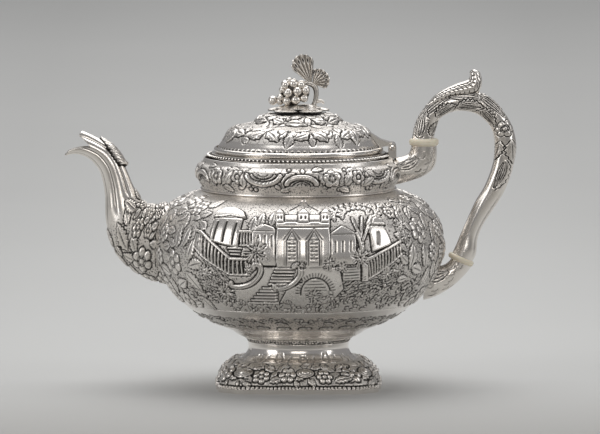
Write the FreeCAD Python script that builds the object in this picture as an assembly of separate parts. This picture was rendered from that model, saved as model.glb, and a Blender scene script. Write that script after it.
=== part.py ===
"""Chased silver teapot with a hinged lid, in millimetres.

+Z is up, +X points from the pot's axis towards the handle, and the spout points along -X.
The origin is on the pot's axis, on the surface that the foot stands on.
Every piece is a closed solid of its own in parts/NODE.step.
"""

import FreeCAD, Part
import math
import os

V = FreeCAD.Vector

# ---- driving dimensions ----------------------------------------------------

# Radii about the pot's axis.
belly_r = 98.8        # widest part of the body
lid_r = 57.6          # outside of the lid's rim
mouth_r = lid_r - 5.4     # hole that the pot is filled through
neck_r = lid_r + 7.7      # waist between the body and the collar
collar_r = lid_r + 12.2   # widest part of the collar
stem_r = 34.0         # narrowest part of the pedestal
foot_half = 55.0      # half the width of the square foot across its sides

# Heights above the table.
edge_band_h = 3.2     # plain strip that the foot stands on
foot_top_z = 19.4     # top of the pierced foot plate
stem_z = 28.0         # narrowest part of the pedestal
joint_z = 35.0        # pedestal meets the body
belly_z = 93.0        # widest part of the body
neck_z = 134.6        # waist between the body and the collar
rim_z = 156.8         # top of the collar

# Metal and clearances.
wall = 1.1            # raised sheet silver of body, collar, lid and spout
plate = 1.6           # cast and rolled pieces
bezel_gap = 1.0       # lid's inner ring to the mouth
lid_gap = 0.3         # lid above its seat
seam_gap = 0.02       # soldered neighbours that meet on curved faces

# Lid and finial.
lid_h = 26.8          # dome above the seat
stud_r = 1.9
nut_r = 4.6
nut_h = 3.2
leaf_base_r = 19.0
finial_h = 37.0       # above the lid's dome
leaf_t = 2.0

# Lid hinge.
knuckle_r = 2.7
pin_r = 1.15
pin_clear = 0.05      # running clearance of the lid's knuckles on the pin
knuckle_gap = 0.15    # between neighbouring knuckles
hinge_w = 22.0        # all five knuckles, along Y
hinge_out = 6.1       # pin's distance from the lid's rim
knuckles = 5

# Handle.
ring_r = 10.0         # upper ivory ring
ring_t = 5.2
low_ring_r = 9.1      # lower ivory ring
low_ring_t = 3.8
low_ring_tilt = 24.0  # degrees that the lower ring leans from level
tenon_r = 4.2
tenon_len = 8.5
tenon_fit = 0.1
rivet_r = 1.25
rivet_set = 4.6       # rivets stand this far from the ring's face
rivet_head = 0.5      # height of a rivet's head

# Spout.
strainer_hole_r = 1.5
strainer_pitch = 5.4
strainer_half_h = 17.0    # punched area behind the spout
strainer_half_w = 11.5

# ---- small helpers ---------------------------------------------------------


def spline(points, closed=False):
    curve = Part.BSplineCurve()
    curve.interpolate(Points=points, PeriodicFlag=closed)
    return curve


def polygon(points):
    return Part.makePolygon(points + [points[0]])


def turned(wire):
    """Solid made by turning a closed outline in the XZ plane about the pot's axis."""
    solid = Part.Face(wire).revolve(V(0, 0, 0), V(0, 0, 1), 360)
    return solid if solid.Volume > 0 else solid.reversed()


def turned_polygon(outline):
    return turned(polygon([V(r, 0, z) for r, z in outline]))


def half_round_wire(r, z, radius):
    """Half-round wire bent into a ring, its flat side against the surface at radius r."""
    top, tip, foot = V(r, 0, z + radius), V(r + radius, 0, z), V(r, 0, z - radius)
    bow = Part.Arc(foot, tip, top).toShape()
    return turned(Part.Wire([bow, Part.makeLine(top, foot)]))


def inside_of(curve, thickness, count):
    """Points of a profile moved inwards by the wall's thickness."""
    first, last = curve.FirstParameter, curve.LastParameter
    found = []
    for i in range(count):
        u = first + (last - first) * i / (count - 1)
        p, t = curve.value(u), curve.tangent(u)[0]
        moved = V(p.x - t.z * thickness, 0, p.z + t.x * thickness)
        found.append(V(max(moved.x, 0.0), 0, moved.z))
    return found


def sheet_of_revolution(outline, thickness, count=17):
    """Shell turned from a spline outline, given from the lowest point up, with the wall inside it."""
    outer = spline([V(r, 0, z) for r, z in outline])
    inner_points = inside_of(outer, thickness, count)
    if outline[0][0] == 0:
        inner_points[0] = V(0, 0, outline[0][1] + thickness)
    if outline[-1][0] == 0:
        inner_points[-1] = V(0, 0, outline[-1][1] - thickness)
    inner = spline(inner_points)
    edges = [
        outer.toShape(),
        Part.makeLine(outer.EndPoint, inner.EndPoint),
        inner.toShape(),
        Part.makeLine(inner.StartPoint, outer.StartPoint),
    ]
    return turned(Part.Wire(Part.__sortEdges__(edges)))


def filled(outline):
    """Everything inside a turned outline, used to trim what is soldered onto it."""
    outer = spline([V(r, 0, z) for r, z in outline])
    low, high = V(0, 0, outline[0][1]), V(0, 0, outline[-1][1])
    edges = [outer.toShape()]
    if outline[-1][0] > 0:
        edges.append(Part.makeLine(outer.EndPoint, high))
    edges.append(Part.makeLine(high, low))
    if outline[0][0] > 0:
        edges.append(Part.makeLine(low, outer.StartPoint))
    return turned(Part.Wire(Part.__sortEdges__(edges)))


def oval(near, far, width, inset, count):
    """Points of an oval between two points of the XZ plane, with its half width along Y."""
    centre = (near + far) * 0.5
    reach = far - centre
    reach = reach * ((reach.Length - inset) / reach.Length)
    turns = [2 * math.pi * i / count for i in range(count)]
    return [centre + reach * math.cos(a) + V(0, (width - inset) * math.sin(a), 0) for a in turns]


def interpolated(points, places, closed=False):
    """Spline through points that it reaches at the given places along itself."""
    curve = Part.BSplineCurve()
    curve.interpolate(Points=points, PeriodicFlag=closed, Parameters=places)
    return curve


def limb(stations, inset=0.0, count=12):
    """Solid through ovals. A station is (point on one edge, point on the other edge, half width)."""
    middles = [(near + far) * 0.5 for near, far, _ in stations]
    run = [0.0]
    for before, after in zip(middles, middles[1:]):
        run.append(run[-1] + (after - before).Length)
    turns = [i / count for i in range(count + 1)]
    rings = [interpolated(oval(*station, inset, count), turns, True) for station in stations]
    rails = [interpolated(list(column), run) for column in zip(*[ring.getPoles() for ring in rings])]
    ring, rail = rings[0], rails[0]
    side = Part.BSplineSurface()
    side.buildFromPolesMultsKnots(
        [line.getPoles() for line in rails],
        ring.getMultiplicities(), rail.getMultiplicities(),
        ring.getKnots(), rail.getKnots(),
        True, False, ring.Degree, rail.Degree,
    )
    ends = [Part.Face(Part.Wire([side.vIso(place).toShape()])) for place in (run[0], run[-1])]
    solid = Part.Solid(Part.Shell([side.toShape()] + ends))
    return solid if solid.Volume > 0 else solid.reversed()


def rod(start, direction, length, radius):
    return Part.makeCylinder(radius, length, start, direction)


def across(x, z, length, radius):
    """Rod along Y, centred on the plane of spout and handle."""
    return rod(V(x, -length / 2, z), V(0, 1, 0), length, radius)


def one_solid(shape):
    """The largest solid of a cut, without the chips that a trim can leave."""
    return max(shape.Solids, key=lambda s: s.Volume)


def save(name, shape):
    shape.exportStep(f"parts/{name}.step")
    print(name, round(shape.Volume / 1000, 2), "cm3", "valid" if shape.isValid() else "INVALID")


# ---- body ------------------------------------------------------------------

# Share of the way out from joint to belly, and share of the way up.
bowl_shares = [
    (0.04, 0.02), (0.15, 0.07), (0.32, 0.15), (0.56, 0.29), (0.77, 0.50), (0.93, 0.75),
]
# Share of the way out from neck to belly, and share of the way from belly up to neck.
shoulder_shares = [
    (0.98, 0.25), (0.92, 0.44), (0.78, 0.63), (0.60, 0.78), (0.36, 0.885), (0.12, 0.95),
]
joint_r = stem_r + 2.4
bottom_drop = 2.5     # the bowl's middle hangs below its joint


def body_outline():
    points = [(0, joint_z - bottom_drop), (joint_r * 0.55, joint_z - 1.7), (joint_r, joint_z)]
    for out, up in bowl_shares[1:]:
        points.append((joint_r + out * (belly_r - joint_r), joint_z + up * (belly_z - joint_z)))
    points.append((belly_r, belly_z))
    for out, up in shoulder_shares:
        points.append((neck_r + out * (belly_r - neck_r), belly_z + up * (neck_z - belly_z)))
    points.append((neck_r, neck_z))
    return points


def strainer_holes(centre):
    """Punched holes in staggered rows. Each tapers a little outwards, as a punch leaves it."""
    rows = int(strainer_half_h / strainer_pitch)
    columns = int(strainer_half_w / strainer_pitch)
    before, length, taper = 16.0, 40.0, 0.03
    inner_r, outer_r = (1 - taper) * strainer_hole_r, (1 + taper) * strainer_hole_r
    holes = []
    for row in range(-rows, rows + 1):
        for column in range(-columns, columns + 1):
            y = (column + 0.5 * (row % 2)) * strainer_pitch
            z = row * strainer_pitch * math.cos(math.radians(30))
            if (y / strainer_half_w) ** 2 + (z / strainer_half_h) ** 2 < 1:
                start = centre + V(before, y, z)
                holes.append(Part.makeCone(inner_r, outer_r, length, start, V(-1, 0, 0)))
    return holes


def make_body(strainer_centre):
    """Raised bowl and shoulder in one sheet, with a strainer behind the spout."""
    body = sheet_of_revolution(body_outline(), wall, count=33)
    return one_solid(body.cut(strainer_holes(strainer_centre)))


# ---- foot ------------------------------------------------------------------

foot_lobes = 20       # scallops round the foot's edge
lobe_depth = 1.1
corner_power = 5.0    # how square the foot's outline is
foot_seat_r = stem_r + 7.0
stem_top_z = joint_z - 3.6


def foot_radius(angle, half, power, lobe):
    c, s = abs(math.cos(angle)), abs(math.sin(angle))
    square = half / (c**power + s**power) ** (1 / power)
    return square + lobe * math.cos(foot_lobes * angle)


def foot_section(z, half, power, lobe, count=160):
    points = []
    for i in range(count):
        a = 2 * math.pi * i / count
        r = foot_radius(a, half, power, lobe)
        points.append(V(r * math.cos(a), r * math.sin(a), z))
    return Part.Wire([spline(points, closed=True).toShape()])


# Share of the height from edge band to foot top, inset from the edge, squareness, and scallop share.
foot_levels = [
    (0.0, 0.0, 1.0, 1.0),
    (0.22, 0.9, 0.97, 0.7),
    (0.50, 3.4, 0.92, 0.3),
    (0.80, 8.2, 0.86, 0.1),
    (1.0, 13.6, 0.76, 0.0),
]
# Direction from the middle of a side in degrees, distance in from the edge.
piercings = [(-24, 5.5), (0, 4.8), (24, 5.5), (45, 13.5)]
piercing_r = 1.8


def foot_cushion(inset, drop):
    """Square cushion of the foot plate, filled."""
    wires = []
    for up, inwards, square, scallop in foot_levels:
        z = edge_band_h + up * (foot_top_z - edge_band_h) - drop
        half = foot_half - inwards - inset
        wires.append(foot_section(z, half, corner_power * square, lobe_depth * scallop))
    return Part.makeLoft(wires, True, False)


def make_foot_plate():
    """Cast flange between the pedestal and the edge band, pierced between its leaves."""
    plate_solid = foot_cushion(0, 0).cut(foot_cushion(plate, plate))
    plate_solid = plate_solid.cut(Part.makeCylinder(foot_seat_r - plate, foot_top_z * 2))
    holes = []
    for side in range(4):
        for offset, inwards in piercings:
            a = math.radians(90 * side + offset)
            r = foot_radius(a, foot_half, corner_power, 0) - inwards
            start = V(r * math.cos(a), r * math.sin(a), edge_band_h / 2)
            holes.append(rod(start, V(0, 0, 1), foot_top_z, piercing_r))
    base = Part.makeBox(4 * foot_half, 4 * foot_half, edge_band_h, V(-2 * foot_half, -2 * foot_half, 0))
    return one_solid(plate_solid.cut(Part.Compound(holes)).cut(base))


def make_foot_edge():
    """Plain strip bent to the foot's outline, which stands on the table."""
    def slab(inset):
        outline = foot_section(0, foot_half - inset, corner_power, lobe_depth)
        return Part.Face(outline).extrude(V(0, 0, edge_band_h))
    return slab(0).cut(slab(plate))


def make_pedestal():
    """Spool between foot and body."""
    outline = [
        (foot_seat_r, foot_top_z),
        (stem_r + 0.40 * (foot_seat_r - stem_r), foot_top_z + 0.26 * (stem_z - foot_top_z)),
        (stem_r + 0.10 * (foot_seat_r - stem_r), foot_top_z + 0.62 * (stem_z - foot_top_z)),
        (stem_r, stem_z),
        (stem_r + 0.7, stem_top_z),
    ]
    between = Part.makeCylinder(2 * foot_seat_r, stem_top_z - foot_top_z, V(0, 0, foot_top_z))
    return one_solid(sheet_of_revolution(outline, wall).common(between))


def make_base_band():
    """Cast moulding that covers the joint of pedestal and body: a convex ring over a fillet."""
    low, tip = stem_top_z, joint_z + 0.4
    outline = [
        (stem_r - wall, low), (stem_r + 1.0, low), (stem_r + 1.8, low + 1.6),
        (joint_r + 2.6, tip), (joint_r + 4.4, tip + 1.9), (stem_r - wall, tip + 1.9),
    ]
    return one_solid(turned_polygon(outline).cut(filled(body_outline())))


# ---- collar and mouth ------------------------------------------------------

seat_z = rim_z + 3.0
rope_r = 1.4
neck_wire_r = 0.7
mouth_ring_r = lid_r + 1.6


def collar_outline():
    h = rim_z - neck_z
    bulge = collar_r - neck_r
    return [
        (neck_r, neck_z),
        (neck_r + 0.22 * bulge, neck_z + 0.16 * h),
        (neck_r + 0.80 * bulge, neck_z + 0.36 * h),
        (collar_r, neck_z + 0.56 * h),
        (neck_r + 0.72 * bulge, neck_z + 0.74 * h),
        (neck_r, neck_z + 0.86 * h),
        (neck_r - 1.4, rim_z),
    ]


def make_collar():
    """Bulging band above the shoulder, with the deck inside its top that carries the mouth ring."""
    band = sheet_of_revolution(collar_outline(), wall)
    outer = collar_outline()[-1][0]
    deck = turned_polygon([
        (mouth_r + wall, rim_z - wall),
        (outer - 0.4 * wall, rim_z - wall),
        (outer, rim_z),
        (mouth_r + wall, rim_z),
    ])
    return one_solid(band.fuse(deck).removeSplitter())


def make_mouth_ring():
    """Seat for the lid, with a flange that hangs into the collar."""
    outline = [
        (mouth_r, rim_z - 5), (mouth_r + wall, rim_z - 5), (mouth_r + wall, rim_z),
        (mouth_ring_r, rim_z), (mouth_ring_r, seat_z), (mouth_r, seat_z),
    ]
    return turned_polygon(outline)


def make_rope_rim():
    centre_r = mouth_ring_r + rope_r + seam_gap
    return Part.makeTorus(centre_r, rope_r, V(0, 0, rim_z + rope_r + seam_gap), V(0, 0, 1))


def make_neck_wire():
    """Round wire soldered into the corner between shoulder and collar."""
    lift = 0.6
    return Part.makeTorus(neck_r + neck_wire_r + 0.1, neck_wire_r, V(0, 0, neck_z + lift), V(0, 0, 1))


# ---- lid -------------------------------------------------------------------

lid_base_z = seat_z + lid_gap
lid_rim_r = 1.7       # radius of the rim's half-round edge
lid_skirt_r = lid_r - lid_rim_r
bezel_r = mouth_r - bezel_gap
bezel_drop = 7.5
bezel_solder = 0.45   # seam between the bezel's flange and the dome

# Share of the lid's radius, and share of its height: lower bulge, step and upper dome.
lid_shares = [
    (1.000, 0.000), (0.985, 0.100), (0.955, 0.220), (0.915, 0.330), (0.880, 0.440),
    (0.838, 0.550), (0.760, 0.640), (0.640, 0.700), (0.545, 0.760), (0.500, 0.850),
    (0.420, 0.940), (0.260, 0.990), (0.0, 1.0),
]


def lid_outline():
    return [(share * lid_skirt_r, lid_base_z + up * lid_h) for share, up in lid_shares]


def make_lid_dome():
    """Raised lid with the finial's hole at its top and a small vent beside it."""
    dome = sheet_of_revolution(lid_outline(), wall, count=33)
    hole = Part.makeCylinder(stud_r + tenon_fit, 2 * lid_h, V(0, 0, lid_base_z))
    vent = Part.makeCylinder(1.0, 2 * lid_h, V(-0.42 * lid_skirt_r, 0, lid_base_z))
    return one_solid(dome.cut(hole).cut(vent))


def make_lid_rim():
    """Half-round wire round the lid's lower edge."""
    ring = half_round_wire(lid_skirt_r, lid_base_z + lid_rim_r, lid_rim_r)
    return one_solid(ring.cut(filled(lid_outline())))


def make_lid_bezel():
    """Ring that drops into the mouth and keeps the lid central."""
    z = lid_base_z
    reach = lid_skirt_r - wall - bezel_solder
    outline = [
        (bezel_r - wall, z - bezel_drop), (bezel_r, z - bezel_drop), (bezel_r, z),
        (reach, z), (reach, z + wall), (bezel_r - wall, z + wall),
    ]
    return turned_polygon(outline)


# ---- hinge -----------------------------------------------------------------

hinge_x = lid_r + hinge_out
hinge_z = seat_z + 3.7
knuckle_w = hinge_w / knuckles


def knuckle_span(index):
    low = -hinge_w / 2 + index * knuckle_w
    return low + knuckle_gap / 2, knuckle_w - knuckle_gap


def knuckle(index, bore):
    low, width = knuckle_span(index)
    barrel = rod(V(hinge_x, low, hinge_z), V(0, 1, 0), width, knuckle_r)
    return barrel.cut(rod(V(hinge_x, low - 1, hinge_z), V(0, 1, 0), width + 2, bore))


def make_hinge_bracket():
    """Body half of the hinge: a foot on the collar and the three outer knuckles on posts."""
    pieces = []
    for index in range(0, knuckles, 2):
        low, width = knuckle_span(index)
        corner = V(hinge_x - knuckle_r, low, rim_z)
        post = Part.makeBox(2 * knuckle_r, width, hinge_z - rim_z, corner)
        post = post.cut(rod(V(hinge_x, low - 1, hinge_z), V(0, 1, 0), width + 2, pin_r))
        pieces.append(post.fuse(knuckle(index, pin_r)))
    foot_in = mouth_ring_r + 2 * rope_r + 4 * seam_gap
    base = Part.makeBox(2 * knuckle_r, hinge_w, 1.2, V(hinge_x - knuckle_r, -hinge_w / 2, rim_z - 0.4))
    whole = pieces[0].multiFuse(pieces[1:] + [base])
    whole = whole.cut(Part.makeCylinder(foot_in, 3 * rope_r, V(0, 0, rim_z - 1)))
    return one_solid(whole.cut(filled(collar_outline())).removeSplitter())


def make_lid_leaf():
    """Lid half of the hinge: a leaf that lies on the dome and carries the two inner knuckles."""
    root = 0.86 * lid_skirt_r
    top = hinge_z + knuckle_r
    side = [
        V(root, 0, lid_base_z + 0.50 * lid_h),
        V(lid_skirt_r, 0, top + 2.4),
        V(hinge_x, 0, top),
        V(hinge_x, 0, top - 1.5),
        V(lid_skirt_r, 0, lid_base_z + 2 * lid_rim_r + 0.2),
        V(root, 0, lid_base_z + 0.2 * lid_h),
    ]
    half = 1.5 * knuckle_w - knuckle_gap / 2
    strap = Part.Face(polygon([p + V(0, -half, 0) for p in side])).extrude(V(0, 2 * half, 0))
    strap = strap.cut(filled(lid_outline()))
    strap = strap.cut(half_round_wire(lid_skirt_r, lid_base_z + lid_rim_r, lid_rim_r))
    notch_r = knuckle_r + 0.3
    for index in range(0, knuckles, 2):
        low, width = knuckle_span(index)
        start = V(hinge_x, low - knuckle_gap, hinge_z)
        strap = strap.cut(rod(start, V(0, 1, 0), width + 2 * knuckle_gap, notch_r))
    strap = strap.cut(rod(V(hinge_x, -hinge_w, hinge_z), V(0, 1, 0), 2 * hinge_w, pin_r + pin_clear))
    pieces = [knuckle(index, pin_r + pin_clear) for index in range(1, knuckles, 2)]
    return one_solid(one_solid(strap).multiFuse(pieces).removeSplitter())


def make_hinge_pin():
    """Pin with a domed head at each end."""
    pin = across(hinge_x, hinge_z, hinge_w + 0.6, pin_r)
    heads = []
    for side in (-1, 1):
        face = V(hinge_x, side * (hinge_w / 2 + 0.05), hinge_z)
        heads.append(Part.makeCone(1.6 * pin_r, 0.9 * pin_r, 0.9 * pin_r, face, V(0, side, 0)))
    return one_solid(pin.multiFuse(heads).removeSplitter())


# ---- finial ----------------------------------------------------------------

dome_top_z = lid_base_z + lid_h
leaf_base_h = 4.0
spray_z = dome_top_z + leaf_base_h


def make_leaf_base():
    """Rosette of leaves under the grapes, drilled from below for the stud."""
    outline = [
        (0, dome_top_z),
        (0.55 * leaf_base_r, dome_top_z + 0.2),
        (leaf_base_r, dome_top_z - 1.2),
        (leaf_base_r, dome_top_z + 0.6),
        (0.5 * leaf_base_r, spray_z),
        (0, spray_z),
    ]
    rosette = turned_polygon(outline).cut(filled(lid_outline()))
    return one_solid(rosette.cut(Part.makeCylinder(stud_r, leaf_base_h - 1.0, V(0, 0, dome_top_z))))


def make_stud():
    drop = 8.0
    return Part.makeCylinder(stud_r, drop + leaf_base_h - 1.0, V(0, 0, dome_top_z - drop))


def make_washer():
    ring = Part.makeCylinder(nut_r + 1.0, 0.8, V(0, 0, dome_top_z - wall - 1.5))
    return ring.cut(Part.makeCylinder(stud_r + tenon_fit, 4, V(0, 0, dome_top_z - wall - 3)))


def make_nut():
    top = dome_top_z - wall - 1.5
    turns = [math.radians(60 * i) for i in range(6)]
    corners = [V(nut_r * math.cos(a), nut_r * math.sin(a), top - nut_h) for a in turns]
    bore = Part.makeCylinder(stud_r, 4 * nut_h, V(0, 0, top - 2 * nut_h))
    return Part.Face(polygon(corners)).extrude(V(0, 0, nut_h)).cut(bore)


# Grapes as shares of the finial's height: along X, across Y, up from the rosette, and radius.
berries = [
    (-0.20, 0.00, 0.08, 0.085), (-0.06, 0.10, 0.09, 0.080), (-0.06, -0.10, 0.09, 0.080),
    (0.09, 0.08, 0.11, 0.065), (0.09, -0.08, 0.11, 0.065), (-0.33, 0.00, 0.08, 0.075),
    (-0.44, 0.00, 0.07, 0.080), (-0.15, 0.12, 0.20, 0.075), (-0.15, -0.12, 0.20, 0.075),
    (0.03, 0.12, 0.22, 0.070), (0.03, -0.12, 0.22, 0.070), (0.15, 0.0, 0.22, 0.070),
    (-0.26, 0.0, 0.26, 0.070), (-0.21, 0.08, 0.35, 0.070), (-0.21, -0.08, 0.35, 0.070),
    (-0.07, 0.09, 0.34, 0.080), (-0.07, -0.09, 0.34, 0.080), (0.08, 0.08, 0.31, 0.075),
    (0.08, -0.08, 0.31, 0.075), (-0.13, 0.0, 0.42, 0.070),
]


def spray_point(along, across_y, up):
    return V(along * finial_h, across_y * finial_h, spray_z + up * finial_h)


def make_grapes():
    """Bunch of grapes lying on the rosette, cast in one piece round a core."""
    core = limb([
        (spray_point(-0.42, 0, 0.04), spray_point(-0.43, 0, 0.10), 0.03 * finial_h),
        (spray_point(-0.24, 0, 0.05), spray_point(-0.28, 0, 0.25), 0.09 * finial_h),
        (spray_point(-0.05, 0, 0.08), spray_point(-0.09, 0, 0.37), 0.12 * finial_h),
        (spray_point(0.13, 0, 0.16), spray_point(0.11, 0, 0.31), 0.07 * finial_h),
    ])
    balls = [Part.makeSphere(r * finial_h, spray_point(x, y, z)) for x, y, z, r in berries]
    bunch = core.multiFuse(balls)
    corner = V(-2 * finial_h, -2 * finial_h, spray_z - finial_h)
    below = Part.makeBox(4 * finial_h, 4 * finial_h, finial_h, corner)
    return one_solid(bunch.cut(below))


def make_stalk(grapes):
    """Vine stalk that rises from the rosette behind the grapes and carries the two leaves."""
    thick = 0.05 * finial_h
    stem = limb([
        (spray_point(0.21, 0, 0.0), spray_point(0.33, 0, 0.0), 1.25 * thick),
        (spray_point(0.26, 0, 0.10), spray_point(0.35, 0, 0.09), thick),
        (spray_point(0.28, 0, 0.22), spray_point(0.37, 0, 0.22), thick),
        (spray_point(0.26, 0, 0.32), spray_point(0.35, 0, 0.36), thick),
        (spray_point(0.20, 0, 0.37), spray_point(0.26, 0, 0.45), thick),
        (spray_point(0.10, 0, 0.39), spray_point(0.12, 0, 0.47), thick),
    ])
    return one_solid(stem.cut(grapes))


def make_finial_leaf(points, stalk):
    """Flat leaf in the XZ plane on the stalk, from its outline as shares of the finial's height."""
    outline = spline([spray_point(x, 0, z) - V(0, leaf_t / 2, 0) for x, z in points], closed=True)
    leaf = Part.Face(Part.Wire([outline.toShape()])).extrude(V(0, leaf_t, 0))
    return one_solid(leaf.cut(stalk))


left_leaf = [
    (0.20, 0.42), (0.08, 0.52), (-0.06, 0.66), (-0.14, 0.79), (-0.06, 0.90),
    (0.10, 0.955), (0.22, 0.86), (0.26, 0.66), (0.25, 0.48),
]
right_leaf = [
    (0.28, 0.40), (0.30, 0.58), (0.37, 0.66), (0.47, 0.60), (0.49, 0.48), (0.45, 0.36), (0.35, 0.32),
]


# ---- spout -----------------------------------------------------------------

# Heights blend from the belly (0) to the rim (1); x is measured out from the belly.
# Columns: blend, upper edge out and up, lower edge out and up, half width.
spout_stations = [
    (0.00, (-30.0, 34.0), (-30.0, -23.0), 20.0),
    (0.00, (-14.8, 32.6), (-11.8, -23.6), 20.0),
    (0.05, (-6.8, 28.1), (0.8, -23.3), 19.0),
    (0.12, (-0.8, 23.3), (13.2, -21.8), 17.4),
    (0.20, (4.2, 19.2), (23.0, -17.2), 15.4),
    (0.30, (8.8, 16.9), (29.2, -12.1), 13.2),
    (0.45, (13.2, 15.1), (32.0, -7.7), 11.0),
    (0.65, (17.2, 12.0), (32.5, -3.5), 9.5),
    (0.85, (20.9, 7.6), (35.0, -3.1), 8.7),
    (0.95, (24.2, 6.2), (38.6, -2.9), 8.2),
    (1.00, (28.4, 7.3), (43.7, -1.1), 7.8),
    (1.00, (36.2, 12.2), (51.0, 1.8), 7.0),
    (1.00, (43.7, 16.0), (56.2, 1.6), 5.8),
    (1.00, (49.2, 17.6), (60.5, 1.2), 4.2),
]


def spout_point(blend, out, up):
    return V(-(belly_r + out), 0, (1 - blend) * belly_z + blend * rim_z + up)


def spout_solid(inset):
    stations = [(spout_point(b, *top), spout_point(b, *low), width) for b, top, low, width in spout_stations]
    return limb(stations, inset)


def beak_cut():
    """Wedge that opens the spout's end into an upper and a lower lip."""
    notch, low = spout_point(1, 46.0, 10.6), spout_point(1, 60.4, 2.2)
    high, far = spout_point(1, 48.6, 16.4), 30
    side = [notch, spout_point(1, 53.0, 7.0), low, low + V(-far, 0, -20), high + V(-far, 0, 20), high]
    return Part.Face(polygon([p + V(0, -40, 0) for p in side])).extrude(V(0, 80, 0))


def make_spout_halves():
    """Two cast halves soldered together along the top and the bottom."""
    tube = spout_solid(0).cut(spout_solid(wall)).cut(filled(body_outline())).cut(beak_cut())
    tube = one_solid(tube)
    reach = 3 * belly_r
    near = Part.makeBox(2 * reach, reach, 2 * reach, V(-reach, -reach, -reach))
    far = Part.makeBox(2 * reach, reach, 2 * reach, V(-reach, 0, -reach))
    return one_solid(tube.common(near)), one_solid(tube.common(far))


def make_lip_leaf():
    """Cast leaf laid over the top of the spout behind its mouth."""
    cover = spout_solid(-1.3).cut(spout_solid(0))
    side = [
        spout_point(1, 18.0, 1.0), spout_point(1, 30.5, 5.0), spout_point(1, 42.0, 12.0),
        spout_point(1, 49.0, 15.6), spout_point(1, 52.0, 30.0), spout_point(1, 14.0, 30.0),
    ]
    keep = Part.Face(polygon([p + V(0, -40, 0) for p in side])).extrude(V(0, 80, 0))
    return one_solid(cover.common(keep).cut(beak_cut()))


# ---- handle ----------------------------------------------------------------

# x and z blend from the belly (0) to the collar's rim (1).
# Columns: blend, one edge out and up, the other edge out and up, half width.
upper_socket_stations = [
    (1.00, (-13.8, -1.3), (-13.8, -19.8), 8.0),
    (1.00, (-2.8, -0.6), (-1.8, -18.8), 8.2),
    (1.00, (2.0, 0.4), (8.7, -15.9), 8.0),
    (1.00, (4.8, 2.0), (17.2, -12.3), 8.0),
    (1.00, (6.1, 4.2), (22.6, -7.0), 8.0),
    (1.00, (6.6, 6.2), (24.1, -0.2), 8.0),
    (1.00, (6.8, 9.0), (24.1, 9.0), 7.9),
]
grip_stations = [
    (1.00, (22.4, 11.2), (7.0, 11.2), 7.0),
    (1.00, (23.0, 17.7), (8.8, 19.7), 6.7),
    (1.00, (25.2, 23.8), (13.0, 29.7), 6.5),
    (1.00, (29.8, 28.4), (20.7, 37.8), 6.5),
    (1.00, (36.7, 30.6), (32.2, 43.4), 6.5),
    (1.00, (43.7, 30.8), (45.2, 45.0), 6.6),
    (1.00, (50.7, 28.9), (56.2, 42.4), 6.6),
    (1.00, (57.2, 24.6), (66.2, 34.5), 6.6),
    (1.00, (61.6, 17.6), (74.2, 23.2), 6.6),
    (1.00, (63.2, 9.2), (77.9, 10.7), 6.8),
    (1.00, (63.0, -0.3), (77.4, -0.8), 6.6),
    (0.85, (56.4, -0.2), (70.3, -2.7), 6.4),
    (0.65, (46.1, 1.5), (59.7, -2.0), 6.2),
    (0.50, (36.0, 1.6), (48.7, -3.1), 6.0),
    (0.35, (26.4, -0.3), (37.2, -4.5), 5.6),
    (0.20, (17.4, -1.3), (28.8, -4.8), 5.5),
    (0.00, (8.2, 3.2), (21.8, -2.7), 6.4),
    (0.00, (5.1, -3.3), (18.4, -9.5), 6.6),
]
lower_socket_stations = [
    (0.00, (6.2, -3.6), (19.8, -9.7), 6.8),
    (0.00, (3.8, -7.4), (17.0, -13.8), 6.8),
    (0.00, (0.8, -9.8), (12.2, -19.1), 7.0),
    (0.00, (-2.8, -11.0), (4.7, -25.7), 7.6),
    (0.00, (-7.8, -11.0), (-5.3, -31.5), 8.6),
    (0.00, (-14.8, -11.0), (-16.8, -35.5), 9.2),
    (0.00, (-22.8, -11.0), (-28.8, -39.0), 9.4),
]


def handle_point(blend, out, up):
    x = (1 - blend) * belly_r + blend * collar_r + out
    return V(x, 0, (1 - blend) * belly_z + blend * rim_z + up)


def handle_limb(stations, inset=0.0):
    ovals = [(handle_point(b, *near), handle_point(b, *far), width) for b, near, far, width in stations]
    return limb(ovals, inset)


up_axis = V(0, 0, 1)
low_axis = V(math.sin(math.radians(low_ring_tilt)), 0, math.cos(math.radians(low_ring_tilt)))
ring_low = handle_point(1.0, 15.4, 7.2)
low_ring_low = handle_point(0.0, 11.0, -8.1)


def bored(limb_solid, start, direction):
    """Limb with a round hole for a tenon."""
    return limb_solid.cut(rod(start - direction * 3, direction, tenon_len + 0.3 + 3, tenon_r + tenon_fit))


def trimmed(limb_solid, point, direction):
    """Limb cut off square at a ring, so that it runs from point along direction."""
    reach = 1.4 * ring_r
    block = Part.makeCylinder(reach, reach, point - direction * reach, direction)
    return one_solid(limb_solid.cut(block))


def make_insulator(low, direction, radius, thickness):
    """Ivory ring with a rounded edge and a tenon on each side."""
    ring = rod(low, direction, thickness, radius)
    ring = ring.makeFillet(thickness * 0.42, [e for e in ring.Edges if e.Length > 6 * radius])
    tenon = rod(low - direction * tenon_len, direction, 2 * tenon_len + thickness, tenon_r)
    return ring.fuse(tenon).removeSplitter()


def rivet_places():
    return [
        ring_low - up_axis * rivet_set,
        ring_low + up_axis * (ring_t + rivet_set - 1.4),
        low_ring_low - low_axis * rivet_set,
        low_ring_low + low_axis * (low_ring_t + rivet_set - 1.4),
    ]


def drilled(shape):
    return shape.cut(Part.Compound([across(p.x, p.z, 8 * ring_r, rivet_r) for p in rivet_places()]))


def make_rivets(limbs):
    """Silver rivets that hold the tenons, each with a low head that stands on its limb's side."""
    made = []
    for place, solid in zip(rivet_places(), limbs):
        crossing = solid.common(across(place.x, place.z, 8 * ring_r, rivet_r))
        made.append(across(place.x, place.z, 2 * (crossing.BoundBox.YMax + rivet_head), rivet_r))
    return Part.Compound(made)


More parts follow.
